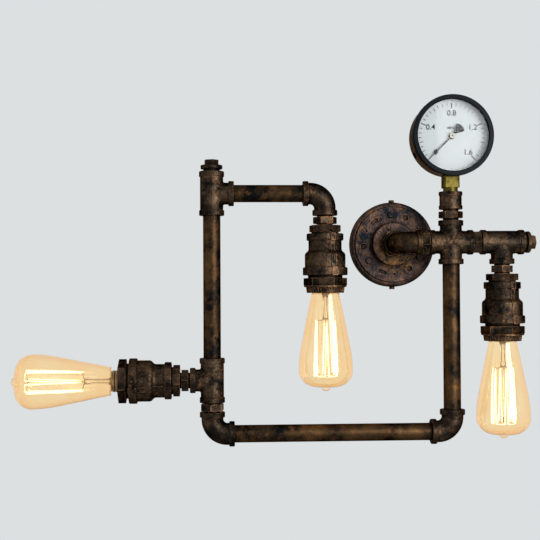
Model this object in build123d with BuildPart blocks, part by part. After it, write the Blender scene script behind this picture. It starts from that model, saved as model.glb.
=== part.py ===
from build123d import *
import os
from math import acos, asin, cos, degrees, pi, radians, sin, sqrt, tan

# Industrial pipe wall light, in millimetres.
# The origin is the middle of the canopy's back on the wall; the wall is the plane Y = 0.
# The light stands out towards -Y, +Z is up and +X is to the right, as seen from the front.

# ---- Layout of the pipe loop -------------------------------------------------------------
PIPE_PLANE_DEPTH = 65.0  # wall to the plane of the pipe axes
NIPPLE_GAP_CROSS = 9.7  # fitting face to fitting face, wall elbow to cross
NIPPLE_GAP_TEE = 9.4  # cross to right tee
NIPPLE_GAP_LEFT = 11.0  # left tee to lower-left elbow
NIPPLE_GAP_GAUGE = 13.6  # cross to gauge coupling
NIPPLE_GAP_LAMP = 12.0  # fitting to lamp bushing
CROSS_TO_TOP_RUN = 59.7  # height of the top pipe above the cross
CROSS_TO_LEFT_TEE = 165.8  # depth of the left tee below the cross
WALL_TO_LEFT_RUN = 229.0  # wall elbow to the left-hand pipe, along X
TOP_RUN_LENGTH = 137.5  # top-left tee to middle elbow, centre to centre

# ---- Pipe and castings -------------------------------------------------------------------
PIPE_DIAMETER = 21.0
PIPE_WALL = 2.6
THREAD_FIT = 0.05  # radial clearance of every screwed joint
ENGAGEMENT = 11.0  # length of pipe or nipple inside a fitting
SOCKET_DEPTH = 13.0
CENTRE_TO_END = 26.8
BAND_DIAMETER = 30.4
BAND_LENGTH = 6.6
BAND_ROUNDING = 1.0
RUN_DIAMETER = 28.0
BRANCH_DIAMETER = 26.6
CROTCH_FILLET = 2.0
ELBOW_DIAMETER = 26.4
BEND_RADIUS = 18.0
WATERWAY_DIAMETER = 16.0

HEX_LENGTH = 8.0
HEX_FLATS = 25.5
HEX_CHAMFER = 0.7
NECK_DIAMETER = 19.0
NIPPLE_BORE = 15.0

PLUG_NECK_LENGTH = 2.8
PLUG_NECK_DIAMETER = 20.0
PLUG_FLANGE_DIAMETER = 26.6
PLUG_FLANGE_THICKNESS = 4.8
PLUG_HEAD_FLATS = 15.6
PLUG_HEAD_HEIGHT = 6.4
PLUG_ROUNDING = 1.2
PLUG_HEAD_TURN = 10.0  # degrees, how far the hex was tightened

# ---- Canopy ------------------------------------------------------------------------------
RIM_DIAMETER = 107.4
RIM_WALL = 1.5
RIM_DEPTH = 13.0
RIM_ROUNDING = 4.0
RIM_OPENING = 60.0
FACE_DIAMETER = 96.0
FACE_THICKNESS = 3.0
FACE_ROUNDING = 1.0
BOSS_DIAMETER = 54.0
BOSS_HEIGHT = 10.0
BOSS_WALL = 2.5
FACE_PITCH_DIAMETER = 74.6
FACE_SLOT_LENGTH = 11.0
FACE_SLOT_WIDTH = 5.6
FACE_SOCKET_DIAMETER = 8.0
FACE_BOLT_DIAMETER = 8.0
FACE_BOLT_HEIGHT = 2.6
FACE_BOLT_SHANK = 4.0
SMALL_HOLE_DIAMETER = 3.0
PATTERN_COUNT = 3
SLOT_ANGLE = 8.5
BOLT_ANGLE = 94.0
SOCKET_ANGLE = 64.0
SMALL_HOLE_ANGLE = 33.0
BOSS_HOLE_ANGLE = -28.0
BOSS_HOLE_RADIUS = 22.5
SIDE_SCREW_HEAD = 7.0
SIDE_SCREW_HEAD_HEIGHT = 3.0
SIDE_SCREW_SHANK = 4.0
SIDE_SCREW_DEPTH = 6.0  # depth of the screw axis in front of the wall
SIDE_SCREW_REACH = 6.0
LOCKNUT_FLATS = 30.0
LOCKNUT_THICKNESS = 4.0
NIPPLE_TAIL = 1.0  # canopy nipple beyond its inner locknut

# ---- Wall bracket and terminal block -----------------------------------------------------
BRACKET_WIDTH = 24.0
BRACKET_THICKNESS = 2.0
BRACKET_SIDE_GAP = 0.3  # between the turned ears and the rim
EAR_DEPTH = 8.8
WALL_SLOT_SPACING = 60.0
WALL_SLOT_LENGTH = 12.0
WALL_SLOT_WIDTH = 4.5
FEED_HOLE_DIAMETER = 8.0
FEED_HOLE_OFFSET = 17.0
TERMINAL_WIDTH = 22.0
TERMINAL_HEIGHT = 16.0
TERMINAL_DEPTH = 9.0
TERMINAL_POLES = 3
TERMINAL_SCREW_DIAMETER = 3.2
TERMINAL_SCREW_SHARE = 0.7  # spacing of the screw rows, as a share of the height

# ---- Lamp stack, along the lamp's own axis from the fitting's end face ----------------------
BUSHING_HEX_LENGTH = 8.0
BUSHING_FLATS = 34.0
BUSHING_TURN = 20.0  # degrees, how far the hex was tightened
BUSHING_NECK_LENGTH = 2.0
BUSHING_DIAMETER = 33.0
BUSHING_SOCKET_DEPTH = 12.0
BUSHING_REACH = 13.0  # screwed into the reducer
REDUCER_SMALL_BAND = 8.4
REDUCER_SMALL_BAND_DIAMETER = 44.8
REDUCER_NECK = 9.9
REDUCER_NECK_DIAMETER = 40.3
REDUCER_SHOULDER = 8.4
REDUCER_BODY = 14.3
REDUCER_BODY_DIAMETER = 49.4
REDUCER_BIG_BAND = 9.6
REDUCER_BIG_BAND_DIAMETER = 54.4
REDUCER_ROUNDING = 1.2
REDUCER_SMALL_CAVITY = 28.0
REDUCER_BIG_CAVITY = 38.0
REDUCER_SEAT = 17.0  # depth of the big socket
RIB_HEIGHT = 1.2
RIB_ANGLE = 14.0
RIB_TURN = 70.0
HOLDER_NECK_DIAMETER = 42.0
HOLDER_NECK_GAP = 3.4
HOLDER_REACH = 14.6
HOLDER_HEX_LENGTH = 9.3
HOLDER_FLATS = 46.0
HOLDER_LIP = 2.1
HOLDER_LIP_DIAMETER = 31.5
PORCELAIN_DIAMETER = 35.8
PORCELAIN_FIT = 0.1
PORCELAIN_LENGTH = 33.2
PORCELAIN_BASE = 7.0
SHELL_THICKNESS = 0.6
SHELL_LENGTH = 23.0
SHELL_TO_BASE = 3.0
CONTACT_DIAMETER = 10.0
CONTACT_THICKNESS = 0.6
CONTACT_POST_DIAMETER = 6.0
CONTACT_HEIGHT = 3.9
RING_FLANGE_DIAMETER = 51.5
RING_FLANGE_THICKNESS = 1.6
RING_LENGTH = 8.7
RING_BASE_DIAMETER = 47.0
RING_END_DIAMETER = 45.0
RING_BORE = 37.0
RING_SPIGOT = 1.9
RING_SPIGOT_WALL = 1.2
KNURL_COUNT = 40
KNURL_DEPTH = 0.9

# ---- Bulb --------------------------------------------------------------------------------
CAP_CREST_DIAMETER = 26.4
CAP_ROOT_DIAMETER = 24.6
CAP_CLEARANCE = 0.3  # cap crests to screw shell
CAP_WALL = 0.3
CAP_LENGTH = 26.4
CAP_PITCH = 3.6
CAP_RIDGES = 6
CAP_LEAD_SHARE = 0.25  # plain length above the ridges, in pitches
INSULATOR_HEIGHT = 4.5
INSULATOR_END_DIAMETER = 11.0
BUTTON_DIAMETER = 9.4
BUTTON_HEIGHT = 1.6
GLASS_WALL = 0.8
GLASS_NECK_REACH = 7.0
GLASS_SHOULDER_DIAMETER = 34.0
GLASS_LENGTH = 114.5
GLASS_NUB_DIAMETER = 11.0
GLASS_NUB_LENGTH = 4.6
GLASS_DIAMETER = 66.0
GLASS_CORNER_RADIUS = 20.0
GLASS_WAIST_AT = 57.0
GLASS_WAIST_DIAMETER = 56.7
STEM_DIAMETER = 6.0
STEM_FLARE_LENGTH = 14.0
GLASS_SHOULDER_LEAN = 0.2
STEM_LENGTH = 33.0
ROD_DIAMETER = 3.0
CAGE_LENGTH = 67.0
CAGE_TOP_DIAMETER = 18.0
CAGE_DIAMETER = 29.5
CAGE_STRANDS = 12
STRAND_DIAMETER = 0.6
ANCHOR_BEAD_DIAMETER = 1.3

# ---- Gauge -------------------------------------------------------------------------------
COUPLING_LENGTH = 21.4
COUPLING_BAND_DIAMETER = 28.8
COUPLING_BAND_LENGTH = 4.6
COUPLING_BODY_DIAMETER = 27.0
COUPLING_ROUNDING = 0.6
SOCKET_NECK_DIAMETER = 17.8
SOCKET_NECK_LENGTH = 5.0
SOCKET_ROUNDING = 0.4
SOCKET_SQUARE = 19.3
SOCKET_SQUARE_LENGTH = 14.2
SOCKET_BORE = 5.0
SOCKET_HEAD_DEPTH = 14.0
SOCKET_HEAD_TOP = 36.0  # top of the head below the gauge centre
CASE_DIAMETER = 96.0
CASE_WALL = 1.5
CASE_BACK = 18.0  # back of the case behind the pipe plane
CASE_FRONT = 17.5  # front edge of the case before the pipe plane
CASE_ROUNDING = 4.0
CASE_FIT = 0.2
VENT_DIAMETER = 6.0
VENT_ANGLE = 207.0
BEZEL_STEP = 1.5  # bezel over the case, all round
BEZEL_DIAMETER = CASE_DIAMETER + 2 * BEZEL_STEP
BEZEL_FIT = 0.1
BEZEL_SKIRT = 8.0
BEZEL_LIP = 1.6
BEZEL_ROUNDING = 1.0
BEZEL_FACE_WIDTH = 6.0
SIGHT_DIAMETER = BEZEL_DIAMETER - 2 * BEZEL_FACE_WIDTH
WINDOW_FIT = 0.4
WINDOW_DIAMETER = CASE_DIAMETER - 2 * WINDOW_FIT
WINDOW_THICKNESS = 2.0
DIAL_FIT = 1.0
DIAL_DIAMETER = CASE_DIAMETER - 2 * CASE_WALL - 2 * DIAL_FIT
DIAL_THICKNESS = 0.8
DIAL_BEHIND_WINDOW = 8.0
DIAL_HOLE_DIAMETER = 8.0
POINTER_REACH = 39.0
POINTER_TAIL = 17.0
POINTER_WIDTH = 1.4
POINTER_HEAD_LENGTH = 13.0
POINTER_HEAD_WIDTH = 5.0
POINTER_TAIL_WIDTH = 13.0
POINTER_FAN_SHARE = 0.85  # where the tail is widest, as a share of its length
POINTER_THICKNESS = 0.6
POINTER_HUB_DIAMETER = 7.0
POINTER_HUB_THICKNESS = 2.4
POINTER_ABOVE_DIAL = 3.0
POINTER_START = 225.0  # resting angle, counter-clockwise from +X as seen from the front
PLATE_THICKNESS = 1.2
PLATE_WIDTH = 12.0
BACK_PLATE_AT = 5.7  # behind the pipe plane
FRONT_PLATE_AT = 1.0  # before the pipe plane
PLATE_TOP = 9.0
PILLAR_DIAMETER = 3.0
PILLAR_SPREAD = 9.0
ARBOR_DIAMETER = 2.4
ARBOR_FIT = 0.05
GEAR_MODULE = 0.4
PINION_TEETH = 12
GEAR_RATIO = 9
GEAR_BACKLASH = 0.06
GEAR_CLEARANCE = 0.06  # added to the centre distance
ADDENDUM = 0.8
DEDENDUM = 1.15
PRESSURE_ANGLE = 20.0
PINION_LENGTH = 4.0
SECTOR_THICKNESS = 2.0
SECTOR_TEETH = 13
SECTOR_TAIL = 7.0
SECTOR_TAIL_ANGLE = -105.0
SECTOR_WEB = 5.0
LINK_THICKNESS = 1.0
LINK_WIDTH = 3.0
LINK_PIN_DIAMETER = 1.2
LINK_GAP = 0.2
TUBE_RADIUS = 37.0
TUBE_WIDTH = 9.0
TUBE_DEPTH = 3.4
TUBE_END_ANGLE = -40.0
LUG_ANGLE = -50.0
LUG_WIDTH = 4.0

# ---- Leads -------------------------------------------------------------------------------
LEAD_DIAMETER = 3.6
LEAD_SPACING = 2.3
LEAD_LIFT = 4.2

# ---- Worked out from the sizes above -----------------------------------------------------
UP = Vector(0, 0, 1)
DOWN = Vector(0, 0, -1)
LEFT = Vector(-1, 0, 0)
RIGHT = Vector(1, 0, 0)
OUT = Vector(0, -1, 0)
IN = Vector(0, 1, 0)

PIPE_Y = -PIPE_PLANE_DEPTH
CROSS_X = 2 * CENTRE_TO_END + NIPPLE_GAP_CROSS
TEE_X = CROSS_X + 2 * CENTRE_TO_END + NIPPLE_GAP_TEE
LEFT_X = -WALL_TO_LEFT_RUN
MIDDLE_X = LEFT_X + TOP_RUN_LENGTH
TOP_Z = CROSS_TO_TOP_RUN
LEFT_TEE_Z = -CROSS_TO_LEFT_TEE
BOTTOM_Z = LEFT_TEE_Z - 2 * CENTRE_TO_END - NIPPLE_GAP_LEFT

WALL_ELBOW = Vector(0, PIPE_Y, 0)
CROSS = Vector(CROSS_X, PIPE_Y, 0)
RIGHT_TEE = Vector(TEE_X, PIPE_Y, 0)
TOP_LEFT_TEE = Vector(LEFT_X, PIPE_Y, TOP_Z)
LEFT_TEE = Vector(LEFT_X, PIPE_Y, LEFT_TEE_Z)
MIDDLE_ELBOW = Vector(MIDDLE_X, PIPE_Y, TOP_Z)
LOWER_LEFT_ELBOW = Vector(LEFT_X, PIPE_Y, BOTTOM_Z)
LOWER_RIGHT_ELBOW = Vector(CROSS_X, PIPE_Y, BOTTOM_Z)

FACE_BACK = RIM_DEPTH
FACE_FRONT = FACE_BACK + FACE_THICKNESS
BOSS_FRONT = FACE_FRONT + BOSS_HEIGHT

BUSHING_AT = NIPPLE_GAP_LAMP
REDUCER_AT = BUSHING_AT + BUSHING_HEX_LENGTH + BUSHING_NECK_LENGTH
NECK_AT = REDUCER_AT + REDUCER_SMALL_BAND
SHOULDER_AT = NECK_AT + REDUCER_NECK
BODY_AT = SHOULDER_AT + REDUCER_SHOULDER
BIG_BAND_AT = BODY_AT + REDUCER_BODY
REDUCER_END = BIG_BAND_AT + REDUCER_BIG_BAND
HOLDER_AT = REDUCER_END + HOLDER_NECK_GAP
HOLDER_END = HOLDER_AT + HOLDER_HEX_LENGTH
PORCELAIN_END = HOLDER_END - HOLDER_LIP
PORCELAIN_AT = PORCELAIN_END - PORCELAIN_LENGTH
CONTACT_AT = PORCELAIN_AT + PORCELAIN_BASE
BUTTON_AT = CONTACT_AT + CONTACT_HEIGHT
CAP_AT = BUTTON_AT + BUTTON_HEIGHT + INSULATOR_HEIGHT
CAP_END = CAP_AT + CAP_LENGTH
GLASS_NECK_DIAMETER = CAP_ROOT_DIAMETER - 2 * CAP_WALL - 2 * THREAD_FIT
SHELL_BORE = CAP_CREST_DIAMETER + 2 * CAP_CLEARANCE
SHELL_DIAMETER = SHELL_BORE + 2 * SHELL_THICKNESS

COUPLING_BASE_Z = CENTRE_TO_END + NIPPLE_GAP_GAUGE
COUPLING_TOP_Z = COUPLING_BASE_Z + COUPLING_LENGTH
CASE_BOTTOM_Z = COUPLING_TOP_Z + SOCKET_NECK_LENGTH + SOCKET_SQUARE_LENGTH
GAUGE_Z = CASE_BOTTOM_Z + CASE_DIAMETER / 2
PINION_RADIUS = GEAR_MODULE * PINION_TEETH / 2
SECTOR_RADIUS = PINION_RADIUS * GEAR_RATIO
SECTOR_DROP = PINION_RADIUS + SECTOR_RADIUS + GEAR_CLEARANCE
GEAR_PLANE = (BACK_PLATE_AT - FRONT_PLATE_AT) / 2  # behind the pipe plane


# ---- Helpers -----------------------------------------------------------------------------
def save(piece, name):
    """Label a finished piece and write its file."""
    piece.part.label = name
    export_step(piece.part, f"parts/{name}.step")


def axis_plane(point, direction, across):
    """A plane at a point whose normal is the axis direction."""
    return Plane(origin=point, x_dir=across, z_dir=direction)


def lathe_plane(axis):
    """The plane whose X is the radius and whose Y runs along the axis of the given plane."""
    return Plane(origin=axis.origin, x_dir=axis.x_dir, z_dir=axis.x_dir.cross(axis.z_dir))


def lathe_section(axis, points):
    """A closed outline of (radius, distance along the axis) points."""
    with BuildSketch(lathe_plane(axis)) as section:
        with BuildLine():
            Polyline(*points, close=True)
        make_face()
    return section.sketch


def turned(axis, angle):
    """The same plane turned about its own normal."""
    across = axis.x_dir * cos(radians(angle)) + axis.y_dir * sin(radians(angle))
    return Plane(origin=axis.origin, x_dir=across, z_dir=axis.z_dir)


def spin_axis(axis):
    return Axis(axis.origin, axis.z_dir)


def disc(axis, start, diameter):
    with BuildSketch(axis.offset(start)) as outline:
        Circle(diameter / 2)
    return outline.sketch


def hexagon(axis, start, flats, turn=0):
    with BuildSketch(axis.offset(start)) as outline:
        RegularPolygon(flats / 2, 6, major_radius=False, rotation=turn)
    return outline.sketch


def circles_of(builder, diameter):
    """The round edges of one diameter."""
    return builder.edges().filter_by(GeomType.CIRCLE).filter_by(lambda e: abs(2 * e.radius - diameter) < 1e-3)


def hex_cone(axis, start, length, flats):
    """A short double cone that cuts the corners of a hexagon as a turned chamfer does."""
    corner = flats / sqrt(3)
    full = corner + HEX_CHAMFER
    waist = corner - HEX_CHAMFER
    rise = (full - waist) * tan(radians(30))
    points = [
        (0, start),
        (waist, start),
        (full, start + rise),
        (full, start + length - rise),
        (waist, start + length),
        (0, start + length),
    ]
    return lathe_section(axis, points)


# ---- Castings ----------------------------------------------------------------------------
def across_for(direction):
    """A direction square to the given one, kept in the pipe plane where that is possible."""
    if abs(direction.Y) > 0.5:
        return RIGHT
    return IN


def straight_casting(name, centre, run, branches):
    """A tee or a cross: a through run and one or two smaller branches."""
    with BuildPart() as casting:
        for direction in (run, run * -1):
            arm = axis_plane(centre, direction, across_for(direction))
            extrude(disc(arm, 0, RUN_DIAMETER), amount=CENTRE_TO_END)
        for direction in branches:
            arm = axis_plane(centre, direction, across_for(direction))
            extrude(disc(arm, 0, BRANCH_DIAMETER), amount=CENTRE_TO_END)
        not_round = casting.edges().filter_by(GeomType.CIRCLE, reverse=True)
        crotch = not_round.filter_by(GeomType.LINE, reverse=True)
        fillet(crotch, CROTCH_FILLET)
        add_bands_and_sockets(casting, centre, [run, run * -1, *branches])
    save(casting, name)


def add_bands_and_sockets(casting, centre, directions):
    arms = [axis_plane(centre, direction, across_for(direction)) for direction in directions]
    for arm in arms:
        add(band_solid(arm))
    for arm in arms:
        extrude(disc(arm, 0, WATERWAY_DIAMETER), amount=CENTRE_TO_END, mode=Mode.SUBTRACT)
        socket = disc(arm, CENTRE_TO_END - SOCKET_DEPTH, PIPE_DIAMETER + 2 * THREAD_FIT)
        extrude(socket, amount=SOCKET_DEPTH, mode=Mode.SUBTRACT)


def band_solid(arm):
    """The rounded bead at the mouth of a fitting."""
    with BuildPart(mode=Mode.PRIVATE) as band:
        extrude(disc(arm, CENTRE_TO_END - BAND_LENGTH, BAND_DIAMETER), amount=BAND_LENGTH)
        fillet(band.edges().filter_by(GeomType.CIRCLE), BAND_ROUNDING)
    return band.part


def elbow_casting(name, centre, first, second):
    """A quarter bend with a bead and a socket at each end."""
    with BuildPart() as casting:
        path = bend_path(centre, first, second)
        start = axis_plane(centre + first * CENTRE_TO_END, first, across_for(first))
        sweep(disc(start, 0, ELBOW_DIAMETER), path=path)
        arms = [axis_plane(centre, direction, across_for(direction)) for direction in (first, second)]
        for arm in arms:
            add(band_solid(arm))
        sweep(disc(start, 0, WATERWAY_DIAMETER), path=path, mode=Mode.SUBTRACT)
        for arm in arms:
            socket = disc(arm, CENTRE_TO_END - SOCKET_DEPTH, PIPE_DIAMETER + 2 * THREAD_FIT)
            extrude(socket, amount=SOCKET_DEPTH, mode=Mode.SUBTRACT)
    save(casting, name)


def bend_path(centre, first, second):
    corners = [centre + first * CENTRE_TO_END, centre, centre + second * CENTRE_TO_END]
    with BuildLine() as path:
        FilletPolyline(*corners, radius=BEND_RADIUS)
    return path.wires()[0]


def straight_pipe(name, start, end):
    """A pipe between two fitting centres, screwed into both."""
    direction = (end - start).normalized()
    axis = axis_plane(start, direction, across_for(direction))
    first = CENTRE_TO_END - ENGAGEMENT
    length = (end - start).length - 2 * first
    with BuildPart() as pipe:
        extrude(disc(axis, first, PIPE_DIAMETER), amount=length)
        extrude(disc(axis, first, PIPE_DIAMETER - 2 * PIPE_WALL), amount=length, mode=Mode.SUBTRACT)
    save(pipe, name)


def nipple_solid(axis, gap, turn):
    """A hexagon nipple that bridges a gap between two fitting faces; the axis starts at one face."""
    hex_start = (gap - HEX_LENGTH) / 2
    with BuildPart(mode=Mode.PRIVATE) as nipple:
        extrude(hexagon(axis, hex_start, HEX_FLATS, turn), amount=HEX_LENGTH)
        revolve(hex_cone(axis, hex_start, HEX_LENGTH, HEX_FLATS), axis=spin_axis(axis), mode=Mode.INTERSECT)
        extrude(disc(axis, -ENGAGEMENT, NECK_DIAMETER), amount=gap + 2 * ENGAGEMENT)
        extrude(disc(axis, -ENGAGEMENT, PIPE_DIAMETER), amount=ENGAGEMENT)
        extrude(disc(axis, gap, PIPE_DIAMETER), amount=ENGAGEMENT)
        extrude(disc(axis, -ENGAGEMENT, NIPPLE_BORE), amount=gap + 2 * ENGAGEMENT, mode=Mode.SUBTRACT)
    return nipple.part


def make_nipples():
    with BuildPart() as nipples:
        for centre, direction, gap, turn in NIPPLES:
            start = centre + direction * CENTRE_TO_END
            add(nipple_solid(axis_plane(start, direction, across_for(direction)), gap, turn))
    save(nipples, "hex_nipples")


def make_plugs():
    seats = [(TOP_LEFT_TEE, UP), (RIGHT_TEE, RIGHT)]
    flange_at = PLUG_NECK_LENGTH
    head_at = flange_at + PLUG_FLANGE_THICKNESS
    with BuildPart() as plugs:
        for centre, direction in seats:
            axis = axis_plane(centre + direction * CENTRE_TO_END, direction, across_for(direction))
            extrude(disc(axis, -ENGAGEMENT, PIPE_DIAMETER), amount=ENGAGEMENT)
            extrude(disc(axis, 0, PLUG_NECK_DIAMETER), amount=flange_at)
            extrude(disc(axis, flange_at, PLUG_FLANGE_DIAMETER), amount=PLUG_FLANGE_THICKNESS)
            extrude(hexagon(axis, head_at, PLUG_HEAD_FLATS, PLUG_HEAD_TURN), amount=PLUG_HEAD_HEIGHT)
        fillet(circles_of(plugs, PLUG_FLANGE_DIAMETER), PLUG_ROUNDING)
    save(plugs, "pipe_plugs")


# ---- Canopy and wall bracket --------------------------------------------------------------
WALL = Plane(origin=(0, 0, 0), x_dir=(1, 0, 0), z_dir=(0, -1, 0))


def on_face(angle, diameter=FACE_PITCH_DIAMETER):
    """Where a feature of the canopy face lies, at an angle counter-clockwise from +X."""
    return (diameter / 2 * cos(radians(angle)), diameter / 2 * sin(radians(angle)))


def pattern(first_angle):
    return [first_angle + i * 360 / PATTERN_COUNT for i in range(PATTERN_COUNT)]


def make_canopy_rim():
    outer = RIM_DIAMETER / 2
    with BuildPart() as canopy_rim:
        extrude(disc(WALL, 0, RIM_DIAMETER), amount=RIM_DEPTH)
        fillet(canopy_rim.faces().sort_by(Axis.Y)[0].edges(), RIM_ROUNDING)
        inside = [
            (0, 0),
            (outer - RIM_WALL, 0),
            (outer - RIM_WALL, RIM_DEPTH - RIM_ROUNDING),
            (outer - RIM_ROUNDING, RIM_DEPTH - RIM_WALL),
            (0, RIM_DEPTH - RIM_WALL),
        ]
        revolve(lathe_section(WALL, inside), axis=spin_axis(WALL), mode=Mode.SUBTRACT)
        extrude(disc(WALL, 0, RIM_OPENING), amount=RIM_DEPTH, mode=Mode.SUBTRACT)
        for angle in pattern(BOLT_ANGLE):
            with BuildSketch(WALL):
                with Locations(on_face(angle)):
                    Circle(FACE_BOLT_SHANK / 2 + THREAD_FIT)
            extrude(amount=RIM_DEPTH, mode=Mode.SUBTRACT)
        for direction in (UP, DOWN):
            with BuildSketch(side_screw_plane(direction)):
                Circle(SIDE_SCREW_SHANK / 2 + THREAD_FIT)
            extrude(amount=-2 * RIM_WALL, mode=Mode.SUBTRACT)
    save(canopy_rim, "canopy_rim")


def side_screw_plane(direction):
    """On the rim's outside, looking outwards along a side screw."""
    seat = Vector(0, -SIDE_SCREW_DEPTH, 0) + direction * (RIM_DIAMETER / 2)
    return Plane(origin=seat, x_dir=RIGHT, z_dir=direction)


def make_canopy_face():
    with BuildPart() as canopy_face:
        with BuildSketch(WALL.offset(FACE_BACK)):
            Circle(FACE_DIAMETER / 2)
        extrude(amount=FACE_THICKNESS)
        with BuildSketch(WALL.offset(FACE_FRONT)):
            Circle(BOSS_DIAMETER / 2)
        extrude(amount=BOSS_HEIGHT)
        rounded = circles_of(canopy_face, FACE_DIAMETER).sort_by(Axis.Y)[:1]
        rounded += circles_of(canopy_face, BOSS_DIAMETER).sort_by(Axis.Y)[:1]
        fillet(rounded, FACE_ROUNDING)
        with BuildSketch(WALL.offset(FACE_BACK)):
            Circle(BOSS_DIAMETER / 2 - BOSS_WALL)
        extrude(amount=FACE_THICKNESS + BOSS_HEIGHT - BOSS_WALL, mode=Mode.SUBTRACT)
        with BuildSketch(WALL.offset(FACE_BACK)):
            for angle in pattern(SLOT_ANGLE):
                with Locations(Location((*on_face(angle), 0), (0, 0, angle + 90))):
                    SlotOverall(FACE_SLOT_LENGTH, FACE_SLOT_WIDTH)
            for angle in pattern(SOCKET_ANGLE):
                with Locations(on_face(angle)):
                    Circle(FACE_SOCKET_DIAMETER / 2)
            for angle in pattern(SMALL_HOLE_ANGLE):
                with Locations(on_face(angle)):
                    Circle(SMALL_HOLE_DIAMETER / 2)
            for angle in pattern(BOLT_ANGLE):
                with Locations(on_face(angle)):
                    Circle(FACE_BOLT_SHANK / 2 + THREAD_FIT)
        extrude(amount=FACE_THICKNESS, mode=Mode.SUBTRACT)
        with BuildSketch(WALL.offset(BOSS_FRONT)):
            with Locations(on_face(BOSS_HOLE_ANGLE, 2 * BOSS_HOLE_RADIUS)):
                Circle(SMALL_HOLE_DIAMETER / 2)
            Circle(PIPE_DIAMETER / 2 + THREAD_FIT)
        extrude(amount=-BOSS_WALL, mode=Mode.SUBTRACT)
    save(canopy_face, "canopy_face")


def make_canopy_bolts():
    """Round-headed bolts that hold the face to the rim."""
    with BuildPart() as canopy_bolts:
        for angle in pattern(BOLT_ANGLE):
            with BuildSketch(WALL.offset(FACE_FRONT)):
                with Locations(on_face(angle)):
                    Circle(FACE_BOLT_DIAMETER / 2)
            extrude(amount=FACE_BOLT_HEIGHT)
            with BuildSketch(WALL.offset(FACE_BACK - 2 * RIM_WALL)):
                with Locations(on_face(angle)):
                    Circle(FACE_BOLT_SHANK / 2)
            extrude(amount=FACE_THICKNESS + 2 * RIM_WALL)
        heads = circles_of(canopy_bolts, FACE_BOLT_DIAMETER).group_by(Axis.Y)[0]
        fillet(heads, FACE_BOLT_HEIGHT / 2)
    save(canopy_bolts, "canopy_bolts")


def make_side_screws():
    """The two knurled screws that clamp the rim to the bracket's ears."""
    with BuildPart() as canopy_side_screws:
        for direction in (UP, DOWN):
            seat = side_screw_plane(direction)
            with BuildSketch(seat):
                Circle(SIDE_SCREW_HEAD / 2)
            extrude(amount=SIDE_SCREW_HEAD_HEIGHT)
            with BuildSketch(seat):
                Circle(SIDE_SCREW_SHANK / 2)
            extrude(amount=-SIDE_SCREW_REACH)
        fillet(circles_of(canopy_side_screws, SIDE_SCREW_HEAD), SIDE_SCREW_HEAD_HEIGHT / 5)
    save(canopy_side_screws, "canopy_side_screws")


def make_wall_bracket():
    """A strip on the wall with a slot for each wall screw and an ear turned out at each end."""
    inside = RIM_DIAMETER / 2 - RIM_WALL - BRACKET_SIDE_GAP
    reach = sqrt(inside**2 - (BRACKET_WIDTH / 2) ** 2)
    with BuildPart() as wall_bracket:
        with BuildSketch(WALL):
            Rectangle(BRACKET_WIDTH, 2 * reach)
        extrude(amount=BRACKET_THICKNESS)
        for direction in (UP, DOWN):
            ear_at = direction * reach
            with BuildSketch(Plane(origin=ear_at + OUT * (EAR_DEPTH / 2), x_dir=RIGHT, z_dir=direction)):
                Rectangle(BRACKET_WIDTH, EAR_DEPTH)
            extrude(amount=-BRACKET_THICKNESS)
        with BuildSketch(WALL):
            with Locations((0, WALL_SLOT_SPACING / 2), (0, -WALL_SLOT_SPACING / 2)):
                SlotOverall(WALL_SLOT_LENGTH, WALL_SLOT_WIDTH, rotation=90)
            with Locations((0, FEED_HOLE_OFFSET)):
                Circle(FEED_HOLE_DIAMETER / 2)
        extrude(amount=BRACKET_THICKNESS, mode=Mode.SUBTRACT)
        for direction in (UP, DOWN):
            with BuildSketch(side_screw_plane(direction)):
                Circle(SIDE_SCREW_SHANK / 2 + THREAD_FIT)
            extrude(amount=-2 * SIDE_SCREW_REACH, mode=Mode.SUBTRACT)
    save(wall_bracket, "wall_bracket")


def make_terminal_block():
    pitch = TERMINAL_WIDTH / TERMINAL_POLES
    with BuildPart() as terminal_block:
        with BuildSketch(WALL.offset(BRACKET_THICKNESS)):
            RectangleRounded(TERMINAL_WIDTH, TERMINAL_HEIGHT, 1)
        extrude(amount=TERMINAL_DEPTH)
        with BuildSketch(WALL.offset(BRACKET_THICKNESS + TERMINAL_DEPTH)):
            with GridLocations(pitch, TERMINAL_HEIGHT * TERMINAL_SCREW_SHARE, TERMINAL_POLES, 2):
                Circle(TERMINAL_SCREW_DIAMETER / 2)
        extrude(amount=-TERMINAL_DEPTH / 2, mode=Mode.SUBTRACT)
    save(terminal_block, "terminal_block")


def make_canopy_nipple():
    """The threaded tube from the wall elbow through the canopy's boss, and its two locknuts."""
    elbow_face = PIPE_PLANE_DEPTH - CENTRE_TO_END
    tail = BOSS_FRONT - BOSS_WALL - LOCKNUT_THICKNESS - NIPPLE_TAIL
    with BuildPart() as canopy_nipple:
        extrude(disc(WALL, tail, PIPE_DIAMETER), amount=elbow_face + ENGAGEMENT - tail)
        bore = disc(WALL, tail, NIPPLE_BORE)
        extrude(bore, amount=elbow_face + ENGAGEMENT - tail, mode=Mode.SUBTRACT)
    save(canopy_nipple, "canopy_nipple")
    with BuildPart() as canopy_locknuts:
        for start in (BOSS_FRONT - BOSS_WALL - LOCKNUT_THICKNESS, BOSS_FRONT):
            extrude(hexagon(WALL, start, LOCKNUT_FLATS), amount=LOCKNUT_THICKNESS)
            hole = disc(WALL, start, PIPE_DIAMETER + 2 * THREAD_FIT)
            extrude(hole, amount=LOCKNUT_THICKNESS, mode=Mode.SUBTRACT)
    save(canopy_locknuts, "canopy_locknuts")


# ---- Lamps -------------------------------------------------------------------------------
def make_bushings():
    with BuildPart() as lamp_bushings:
        for axis in LAMP_AXES.values():
            add(bushing_solid(axis))
    save(lamp_bushings, "lamp_bushings")


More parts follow.
